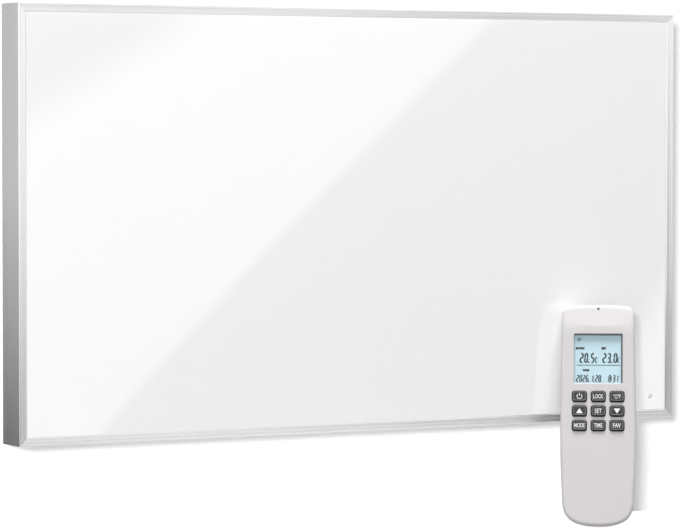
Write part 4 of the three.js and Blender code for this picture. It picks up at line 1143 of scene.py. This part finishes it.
def band_shell(outline, low, high):
    """A flat closed plate from one outline, which may be a bent band.

    Both faces are strips between its two rims.
    """
    half = len(outline) // 2
    outer, inner = outline[:half], outline[half:][::-1]
    rings = [
        np.concatenate([edge, np.full((half, 1), level)], 1)
        for edge, level in ((outer, low), (outer, high), (inner, high), (inner, low))
    ]
    grid = np.stack(rings, 1)
    return capped(grid)


def lettering(name, words, height, place, thickness, squeeze=1.0, bold=0.0):
    """Words as a thin closed mesh, centred on the origin of place and height tall."""
    curve = bpy.data.curves.new(name, "FONT")
    curve.body = words
    curve.size = 1.0
    curve.align_x = "CENTER"
    curve.resolution_u = 3
    curve.offset = bold
    curve.extrude = 0.5
    item = bpy.data.objects.new(name, curve)
    bpy.context.scene.collection.objects.link(item)
    bpy.context.view_layer.update()
    mesh = bpy.data.meshes.new_from_object(item.evaluated_get(bpy.context.evaluated_depsgraph_get()))
    bpy.data.objects.remove(item)
    points = np.empty(len(mesh.vertices) * 3)
    mesh.vertices.foreach_get("co", points)
    points = points.reshape(-1, 3)
    low, high = points.min(0), points.max(0)
    scale = height / (high[1] - low[1])
    points = (points - [(low[0] + high[0]) / 2, (low[1] + high[1]) / 2, 0]) * [scale * squeeze, scale, thickness]
    matrix = np.array(place)
    points = points @ matrix[:3, :3].T + matrix[:3, 3]
    mesh.vertices.foreach_set("co", points.ravel())
    mesh.name = name
    work = bmesh.new()
    work.from_mesh(mesh)
    bmesh.ops.remove_doubles(work, verts=work.verts, dist=TINY)
    work.to_mesh(mesh)
    work.free()
    return mesh


LEGENDS = {
    "lock": ("LOCK", 3.9, 0.62),
    "units": ("°C/°F", 3.9, 0.60),
    "set": ("SET", 4.2, 0.72),
    "mode": ("MODE", 3.9, 0.62),
    "time": ("TIME", 3.9, 0.66),
    "favourite": ("FAV", 4.2, 0.72),
}


class HEATER_OT_keys(bpy.types.Operator):
    """Builds the nine keys and their legends"""

    bl_idname = "heater.keys"
    bl_label = "Build keys"

    def execute(self, context):
        s = sizes(context, "control")
        place = control_matrix(s)
        rubber, print_finish = material("key_rubber"), material("legend_print")
        level = s.depth / 2 + s.key_rise - 0.2 * MM
        lift, under, over = 0.35 * MM, -0.03 * MM, 0.06 * MM
        for index, name in enumerate(KEYS):
            x, y = key_middle(s, index)
            spot = place @ Matrix.Translation((x, y, 0))
            shell, masks = key_shell(s)
            body = name + "_key"
            build("cap_" + name, [shell], body, rubber, ["key_" + name], matrix=spot, masks=masks, sharp=50.0)
            spot = place @ Matrix.Translation((x, y + lift, level))
            label = "legend_" + name
            if name in LEGENDS:
                words, height, squeeze = LEGENDS[name]
                mesh = lettering(label, words, height * MM, spot, 0.12 * MM, squeeze, 0.012)
                dress(mesh, body, print_finish, slot="key_rubber")
            elif name == "power":
                gap = math.radians(38)
                ring = arc_plate(2.2 * MM, 0.62 * MM, math.pi / 2 + gap, 2.5 * math.pi - gap)
                stem = np.array([[[-0.3, 0.5], [0.3, 0.5], [0.3, 3.0], [-0.3, 3.0]]]) * MM
                shells = [band_shell(ring, under, over), plates(stem, under, over)]
                build(label, shells, body, print_finish, slot="key_rubber", matrix=spot)
            else:
                sign = 1 if name == "up" else -1
                arrow = rounded(np.array([[-3.0, -2.2], [3.0, -2.2], [0, 2.4]]) * MM, 0.25 * MM, 4) * [1, sign]
                shells = [plates(arrow[::sign][None], under, over)]
                build(label, shells, body, print_finish, slot="key_rubber", matrix=spot)
        return {"FINISHED"}


# The display ------------------------------------------------------------------

SEGMENTS = np.array(
    [
        [(0, 2), (1, 2)],
        [(1, 2), (1, 1)],
        [(1, 1), (1, 0)],
        [(0, 0), (1, 0)],
        [(0, 1), (0, 0)],
        [(0, 2), (0, 1)],
        [(0, 1), (1, 1)],
    ],
    float,
)
DIGITS = {
    "0": (0, 1, 2, 3, 4, 5),
    "1": (1, 2),
    "2": (0, 1, 6, 4, 3),
    "3": (0, 1, 6, 2, 3),
    "5": (0, 5, 6, 2, 3),
    "6": (0, 5, 6, 4, 3, 2),
    "8": (0, 1, 2, 3, 4, 5, 6),
    "c": (0, 5, 4, 3),
}


def digit_outlines(words, x, y, width, height, pitch, stroke, slant=0.07):
    """Seven-segment characters as outlines (m, 6, 2), and each point as a small square.

    A segment between two corners of the character's cell is a six-sided bar that tapers at both ends. Last, each
    point moves to the right by slant times its height.
    """
    bars = []
    for character in words:
        if character in DIGITS:
            ends = SEGMENTS[list(DIGITS[character])] * [width, height / 2]
            along = unit(ends[:, 1] - ends[:, 0])
            side = np.stack([-along[:, 1], along[:, 0]], 1)
            start = ends[:, 0] + along * stroke * 0.1
            stop = ends[:, 1] - along * stroke * 0.1
            half = stroke / 2
            outline = np.stack(
                [
                    start,
                    start + (along * 0.35 - side) * half,
                    stop - (along * 0.35 + side) * half,
                    stop,
                    stop - (along * 0.35 - side) * half,
                    start + (along * 0.35 + side) * half,
                ],
                1,
            )
            bars.append(outline + [x, 0])
            x += pitch
        elif character in ".:":
            spots = [0.0] if character == "." else [0.3 * height, 0.65 * height]
            square = np.array([(-1, -1), (0, -1), (1, -1), (1, 1), (0, 1), (-1, 1)]) * stroke * 0.5
            bars.append(square[None] + np.array([(x - pitch * 0.15, spot) for spot in spots])[:, None])
            x += pitch * 0.4
        else:
            x += pitch * 0.7
    outlines = np.concatenate(bars)
    outlines[..., 0] += slant * outlines[..., 1]
    outlines[..., 1] += y
    return outlines


class HEATER_OT_display(bpy.types.Operator):
    """Builds what the display shows, a painted shadow along its top and right edges and the marker on the head"""

    bl_idname = "heater.display"
    bl_label = "Build display"

    def execute(self, context):
        s = sizes(context, "control")
        place = control_matrix(s)
        ink, ground = material("display_ink"), 8.4 * MM
        low, high = ground + 0.03 * MM, ground + 0.12 * MM
        middle = s.display_middle
        large, small = (2.2, 7.7, 4.15, 1.3), (1.4, 4.2, 3, 0.95)
        date, clock = (1.6, 5.4, 2.85, 0.95), (1.55, 5.4, 2.7, 0.95)
        upper_row, lower_row = middle - 3.3 * MM, middle - 20.6 * MM
        digits = [
            digit_outlines(words, x * MM, row, *(size * MM for size in style))
            for words, x, row, style in (
                ("20.5", -16.4, upper_row, large),
                ("c", -2.6, upper_row, small),
                ("23.0", 4.1, upper_row, large),
                ("c", 17.4, upper_row, small),
                ("2026.", -19.6, lower_row, date),
                ("1.28.", -6.6, lower_row, date),
                ("8:31", 9.4, lower_row, clock),
            )
        ]
        rule = np.array([[(-19.6, -6.2), (20.2, -6.2), (20.2, -5.7), (-19.6, -5.7)]]) * MM + [0, middle]
        shells = [plates(part, low, high) for part in (*digits, rule)]
        build("display_figures", shells, "handset", ink, slot="display_glass", matrix=place)
        for label, words, x, y, height in (
            ("display_word_room", "ROOM", -16.4, 9.3, 2.3),
            ("display_word_set", "SET", 4.9, 9.3, 2.3),
            ("display_word_day", "MON", -11.0, -10.5, 2.2),
        ):
            spot = place @ Matrix.Translation((x * MM, middle + y * MM, low))
            mesh = lettering(label, words, height * MM, spot, 0.1 * MM, 1.05, 0.12)
            dress(mesh, "handset", ink, slot="display_glass")
        waves = []
        for row in range(3):
            t = np.linspace(-1, 1, 12)
            path = np.stack([-18.2 + 1.0 * row + 0.35 * np.sin(t * math.pi), 17.2 + 1.5 * t], 1)
            waves.append(band_shell(np.concatenate([path + [0.28, 0], (path - [0.28, 0])[::-1]]) * MM, low, high))
        symbol = place @ Matrix.Translation((0, middle, 0))
        build("display_heat_symbol", waves, "handset", ink, slot="display_glass", matrix=symbol)

        # Painted shadow: two dark strips along the display's top and right edges stand in for the shade inside the
        # recess.
        right, top = s.display_width / 2, s.display_height / 2
        strip = 1.5 * MM
        painted_shadow = np.array(
            [
                [(-right, top - strip), (right, top - strip), (right, top), (-right, top)],
                [(right - strip, -top), (right, -top), (right, top - strip), (right - strip, top - strip)],
            ]
        ) + [0, middle]
        shells = [plates(painted_shadow, ground + 0.14 * MM, ground + 0.26 * MM)]
        build("display_painted_shadow", shells, "handset", material("display_shade"), slot="display_glass", matrix=place)
        face, start = s.depth / 2, s.height / 2 - s.slope
        y = 96.3 * MM
        level = face - s.slope_drop * (y - start) / s.slope
        tilt = Matrix.Rotation(-math.atan2(s.slope_drop, s.slope), 4, "X")
        marker = rounded(np.array([[-1.5, 1.0], [0, -1.2], [1.5, 1.0]]) * MM, 0.15 * MM, 3)[None]
        spot = place @ Matrix.Translation((0, y, level)) @ tilt
        build("head_marker", [plates(marker, -0.1 * MM, 0.04 * MM)], "handset", ink, slot="key_rubber", matrix=spot)
        return {"FINISHED"}


# The battery bay and the emitter ----------------------------------------------


class HEATER_OT_cells(bpy.types.Operator):
    """Builds the two cells, their contacts and the infrared emitter"""

    bl_idname = "heater.cells"
    bl_label = "Build cells"

    def execute(self, context):
        s = sizes(context, "control")
        place = control_matrix(s)
        middle, level, spacing = -44 * MM, -4.85 * MM, 10.8 * MM
        span = 44.5 * MM
        rows = [(TINY, 0), (3.8, 0), (4.2, 0.25), (4.75, 0.25), (5.25, 0.7), (5.25, 10.0), (5.25, 11.0)]
        rows += [(5.25, 42.9), (4.75, 43.4), (4.2, 43.4), (3.9, 43.1), (2.2, 43.1), (1.9, 43.3), (1.9, 44.3)]
        rows += [(1.7, 44.5), (TINY, 44.5)]
        profile = np.array(rows) * MM
        band = np.repeat([0, 0, 0, 0, 1, 1, 0, 0, 0, 0, 0, 0, 0, 0, 0, 0], 40)
        bare = np.repeat([1, 1, 1, 0, 0, 0, 0, 0, 0, 0, 1, 1, 1, 1, 1, 1], 40)
        for side, sign in (("left", -1), ("right", 1)):
            turn = Matrix.Rotation(-math.pi / 2 * sign, 4, "X")
            spot = place @ Matrix.Translation((sign * spacing / 2, middle + sign * MM, level)) @ turn
            spot = spot @ Matrix.Translation((0, 0, -span / 2))
            masks = {"band": band, "bare": bare}
            node = "battery_" + side
            can = material("battery_can")
            build("cell_" + side, [turned(profile, 40)], "handset", can, [node], matrix=spot, masks=masks)
        width, height, thick = 10.65 * MM, 4.3 * MM, 0.8 * MM
        metal = material("contact_steel")
        half_bay = 51.3 * MM / 2 - 0.3 * MM
        for end, sign in (("lower", 1), ("upper", -1)):
            plate = stack(rectangle(2 * width, 2 * height, 0.8 * MM, 4), slab_profile(0, thick, 0.15 * MM, 3))
            t = np.linspace(0, 1, 120)
            a = t * 2 * math.pi * 4
            coil = 3.4 * MM - 0.9 * MM * t
            path = np.stack([coil * np.cos(a), coil * np.sin(a), thick + 0.2 * MM + 2.6 * MM * t], 1)
            spring = moved(tube(path, 0.28 * MM, 8), Matrix.Translation((spacing / 2, 0, 0)))
            button = turned(np.array([(TINY / MM, 0.2), (1.9, 0.2), (1.9, 1.6), (1.5, 1.8), (TINY / MM, 1.8)]) * MM)
            button = moved(button, Matrix.Translation((-spacing / 2, 0, 0)))
            turn = Matrix.Rotation(-math.pi / 2, 4, "X")
            spot = place @ Matrix.Translation((0, middle - sign * half_bay, level))
            if sign < 0:
                spot = spot @ Matrix.Rotation(math.pi, 4, "Z")
            node = "battery_contact_" + end
            build("contact_" + end, [plate, spring, button], "handset", metal, [node], matrix=spot @ turn)
        top = s.height / 2 - 0.2 * MM
        dome = np.linspace(0, math.pi / 2, 8)
        crown = np.stack([2.5 * MM * np.cos(dome), top - 2.5 * MM + 2.5 * MM * np.sin(dome)], 1)
        crown[-1, 0] = TINY
        base, seat = top - 11 * MM, top - 10 * MM
        profile = np.concatenate([[(TINY, base), (2.8 * MM, base), (2.8 * MM, seat), (2.5 * MM, seat)], crown])
        spot = place @ Matrix.Translation((0, 0, 2.8 * MM)) @ Matrix.Rotation(-math.pi / 2, 4, "X")
        emitter = material("emitter_plastic")
        build("emitter_dome", [turned(profile, 24)], "handset", emitter, ["infrared_emitter"], matrix=spot)
        return {"FINISHED"}


# The stage --------------------------------------------------------------------


def directly_seen(tree):
    """1 on camera, glossy and transmission rays, and 0 on all others."""
    rays = add(tree, "ShaderNodeLightPath").outputs
    seen = rays["Is Camera Ray"]
    for ray in ("Is Glossy Ray", "Is Transmission Ray"):
        seen = add(tree, "ShaderNodeMath", {0: seen, 1: rays[ray]}, operation="MAXIMUM").outputs[0]
    return seen


def one_sided(name, value, glow, shade):
    """A stage surface that shows from its front only.

    Camera, glossy and transmission rays get a glow on top of the lit colour, so that it turns white where no
    shadow falls on it.
    """
    made = bpy.data.materials.new(name)
    made.use_nodes = True
    tree = made.node_tree
    tree.nodes.clear()
    coordinates = add(tree, "ShaderNodeTexCoord").outputs["Object"]
    grain = add(tree, "ShaderNodeTexNoise", {"Vector": coordinates, "Scale": 3.0, "Detail": 6.0})
    tone = scaled(tree, grain.outputs[0], 1.0 - shade, 1.0)
    lit = add(tree, "ShaderNodeBsdfDiffuse", {"Color": tinted(tree, value, tone)})
    strength = add(tree, "ShaderNodeMath", {0: directly_seen(tree), 1: glow}, operation="MULTIPLY")
    shine = add(tree, "ShaderNodeEmission", {"Strength": strength.outputs[0]})
    both = add(tree, "ShaderNodeAddShader", {0: lit.outputs[0], 1: shine.outputs[0]})
    clear = add(tree, "ShaderNodeBsdfTransparent")
    back = add(tree, "ShaderNodeNewGeometry").outputs["Backfacing"]
    pick = add(tree, "ShaderNodeMixShader", {0: back, 1: both.outputs[0], 2: clear.outputs[0]})
    output = add(tree, "ShaderNodeOutputMaterial")
    tree.links.new(pick.outputs[0], output.inputs[0])
    return made


def reflector_pattern():
    """What the glass and the frame bars reflect: a bright band that leans to the right, with dark on both sides.

    With x across the sheet and z up it, in metres, the band is bright left of 0.179 z^2 + 1.147 z + 0.700, and
    below the line z = 0.564 x - 0.113. Past x = 0.8 z + 1.285 it is bright again. Beyond the part that the glass
    mirrors, the sheet fades downwards at both sides, and from its middle to its ends above and below.
    """
    made = bpy.data.materials.new("stage_reflector")
    made.use_nodes = True
    tree = made.node_tree
    tree.nodes.clear()

    def work(operation, first, second):
        return add(tree, "ShaderNodeMath", {0: first, 1: second}, operation=operation).outputs[0]

    def outside(value, middle, half):
        away = add(tree, "ShaderNodeMath", {0: work("SUBTRACT", value, middle)}, operation="ABSOLUTE").outputs[0]
        return work("GREATER_THAN", away, half)

    def edge(value, soft):
        return add(tree, "ShaderNodeMapRange", {"Value": value, "From Min": -soft, "From Max": soft}).outputs[0]

    place = add(tree, "ShaderNodeSeparateXYZ", {0: add(tree, "ShaderNodeTexCoord").outputs["Object"]}).outputs
    x, z = place["X"], place["Z"]
    bow = work("MULTIPLY", work("ADD", work("MULTIPLY", z, 0.17875), 1.14727), z)
    band = edge(work("SUBTRACT", work("ADD", bow, 0.6996), x), 0.004)
    below = edge(work("SUBTRACT", work("SUBTRACT", work("MULTIPLY", x, 0.564), 0.1126), z), 0.03)
    corner = edge(work("SUBTRACT", x, work("ADD", work("MULTIPLY", z, 0.8), 1.285)), 0.03)
    pattern = work("MAXIMUM", work("MULTIPLY", band, below), work("MULTIPLY", corner, 1.3))
    fade = scaled_between(tree, z, -0.38, -0.16, 0.1, 1.5)
    aside = work("MULTIPLY", work("SUBTRACT", x, 0.66), 1.8)
    hump = work("SUBTRACT", 1.4, work("MULTIPLY", aside, aside))
    beside = outside(x, 0.653, 0.478)
    beyond = outside(z, -0.127, 0.273)
    pattern = add(tree, "ShaderNodeMix", {"Factor": beyond, "A": pattern, "B": hump}).outputs["Result"]
    pattern = add(tree, "ShaderNodeMix", {"Factor": beside, "A": pattern, "B": fade}).outputs["Result"]
    shine = add(tree, "ShaderNodeEmission", {"Strength": pattern})
    output = add(tree, "ShaderNodeOutputMaterial")
    tree.links.new(shine.outputs[0], output.inputs[0])
    return made


def side_pattern():
    """What the left bar's side reflects: a grey that darkens downwards."""
    made = bpy.data.materials.new("stage_side")
    made.use_nodes = True
    tree = made.node_tree
    tree.nodes.clear()
    place = add(tree, "ShaderNodeSeparateXYZ", {0: add(tree, "ShaderNodeTexCoord").outputs["Object"]}).outputs
    shine = add(tree, "ShaderNodeEmission", {"Strength": scaled_between(tree, place["Z"], -0.3, -0.06, 0.1, 0.6)})
    output = add(tree, "ShaderNodeOutputMaterial")
    tree.links.new(shine.outputs[0], output.inputs[0])
    return made


def only_reflected(sheet):
    for ray in ("camera", "diffuse", "transmission", "volume_scatter", "shadow"):
        setattr(sheet, "visible_" + ray, False)


def stage_sheet(name, corners, finish_made):
    mesh = bpy.data.meshes.new(name)
    mesh.from_pydata(corners, [], [(0, 1, 2, 3)])
    mesh.materials.append(finish_made)
    item = bpy.data.objects.new(name, mesh)
    bpy.context.scene.collection.objects.link(item)
    return item


def lamp(name, energy, width, height, where, target):
    """A soft rectangular lamp that looks at a target."""
    data = bpy.data.lights.new(name, "AREA")
    data.shape = "RECTANGLE"
    data.size, data.size_y = width, height
    data.energy = energy
    item = bpy.data.objects.new(name, data)
    bpy.context.scene.collection.objects.link(item)
    spot = Matrix.Translation(where).translation
    item.location = spot
    item.rotation_euler = (Matrix.Translation(target).translation - spot).to_track_quat("-Z", "Y").to_euler()
    item.visible_camera = False
    return item


class HEATER_OT_stage(bpy.types.Operator):
    """Sets up the wall, the floor, the lamps and the camera"""

    bl_idname = "heater.stage"
    bl_label = "Set up stage"

    def execute(self, context):
        s = sizes(context, "stage")
        scene = context.scene
        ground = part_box("handset_rear_shell")[0].z - 0.1 * MM
        reach, behind = 6.0, 0.3 * MM
        wall = stage_sheet(
            "stage_wall",
            [(-reach, behind, ground), (reach, behind, ground), (reach, behind, 2.5), (-reach, behind, 2.5)],
            one_sided("stage_wall", (0.95, 0.95, 0.95), 0.2, 0.01),
        )
        wall.visible_diffuse = False
        wall.visible_shadow = False
        floor = stage_sheet(
            "stage_floor",
            [(-reach, -reach, ground), (reach, -reach, ground), (reach, reach, ground), (-reach, reach, ground)],
            one_sided("stage_floor", (0.85, 0.85, 0.85), 0.75, 0.01),
        )
        floor.visible_shadow = floor.visible_glossy = False
        middle = (0.0, FRONT, -0.09)
        key = lamp("lamp_key", s.key, 0.55, 0.55, (-4.02, -5.5, 0.9), middle)
        top = lamp("lamp_top", s.top, 3.2, 1.8, (-0.6, -1.44, 5.29), middle)
        ground_lamp = lamp("lamp_ground", s.ground, 0.6, 0.6, (-3.86, -5.5, 0.72), middle)
        lamp("lamp_back", s.rear, 1.6, 1.2, (0.6, 2.6, 1.4), middle)
        key.visible_glossy = top.visible_glossy = False
        # The ground lamp lights the wall and the floor alone, and the key and top lamps light all but these.
        around, bars = (bpy.data.collections.new(name) for name in ("surroundings", "bars"))
        for sheet in (wall, floor):
            around.objects.link(sheet)
        ground_lamp.light_linking.receiver_collection = around
        others = around.copy()
        key.light_linking.receiver_collection = top.light_linking.receiver_collection = others
        bars.objects.link(bpy.data.objects["bar_top"])
        top.light_linking.blocker_collection = bars
        for member in (*others.collection_objects, *bars.collection_objects):
            member.light_linking.link_state = "EXCLUDE"
        reflector = stage_sheet(
            "stage_reflector",
            [(2.4, -1.2, -1.6), (-1.2, -1.2, -1.6), (-1.2, -1.2, 1.4), (2.4, -1.2, 1.4)],
            reflector_pattern(),
        )
        only_reflected(reflector)
        left, near = PANEL_LOW.x - MM, -1 * MM
        side = stage_sheet(
            "stage_side",
            [(left - 0.4, near, -0.6), (left, near, -0.6), (left, near, 0.3), (left - 0.4, near, 0.3)],
            side_pattern(),
        )
        only_reflected(side)

        world = bpy.data.worlds.new("studio")
        world.use_nodes = True
        tree = world.node_tree
        strength = scaled(tree, directly_seen(tree), s.room, 1.0)
        tree.links.new(strength, tree.nodes["Background"].inputs["Strength"])
        tree.nodes["Background"].inputs["Color"].default_value = (1, 1, 1, 1)
        scene.world = world

        data = bpy.data.cameras.new("camera")
        data.lens = s.lens
        data.sensor_width = 36.0
        camera = bpy.data.objects.new("camera", data)
        scene.collection.objects.link(camera)
        camera.location = (-1.58288, -2.83003, -0.01464)
        camera.rotation_euler = (math.pi / 2 - s.dip, 0.0, -s.turn)
        scene.camera = camera
        scene.view_settings.view_transform = "Standard"
        return {"FINISHED"}


# The add-on -------------------------------------------------------------------

STEPS = (
    HEATER_OT_finishes,
    HEATER_OT_frame,
    HEATER_OT_status_window,
    HEATER_OT_back,
    HEATER_OT_fittings,
    HEATER_OT_shells,
    HEATER_OT_keys,
    HEATER_OT_display,
    HEATER_OT_cells,
    HEATER_OT_stage,
)
GROUPS = {
    "panel": HEATER_PG_panel,
    "control": HEATER_PG_control,
    "colours": HEATER_PG_colours,
    "stage": HEATER_PG_stage,
}


class HEATER_PT_sidebar(bpy.types.Panel):
    """Lists the building steps in the order in which they run"""

    bl_label = "Infrared panel heater"
    bl_idname = "HEATER_PT_sidebar"
    bl_space_type = "VIEW_3D"
    bl_region_type = "UI"
    bl_category = "Heater"

    def draw(self, context):
        for step in STEPS:
            self.layout.operator(step.bl_idname)
        for group in GROUPS:
            box = self.layout.box()
            box.label(text=group.capitalize())
            settings = sizes(context, group)
            for name in settings.bl_rna.properties.keys():
                if name not in ("rna_type", "name"):
                    box.prop(settings, name)


def register():
    for part in (*GROUPS.values(), *STEPS, HEATER_PT_sidebar):
        bpy.utils.register_class(part)
    for name, group in GROUPS.items():
        setattr(bpy.types.Scene, "heater_" + name, PointerProperty(type=group))


def unregister():
    for name in GROUPS:
        delattr(bpy.types.Scene, "heater_" + name)
    for part in reversed((*GROUPS.values(), *STEPS, HEATER_PT_sidebar)):
        bpy.utils.unregister_class(part)


def main():
    register()
    for step in STEPS:
        category, name = step.bl_idname.split(".")
        getattr(getattr(bpy.ops, category), name)()


if __name__ == "__main__":
    main()
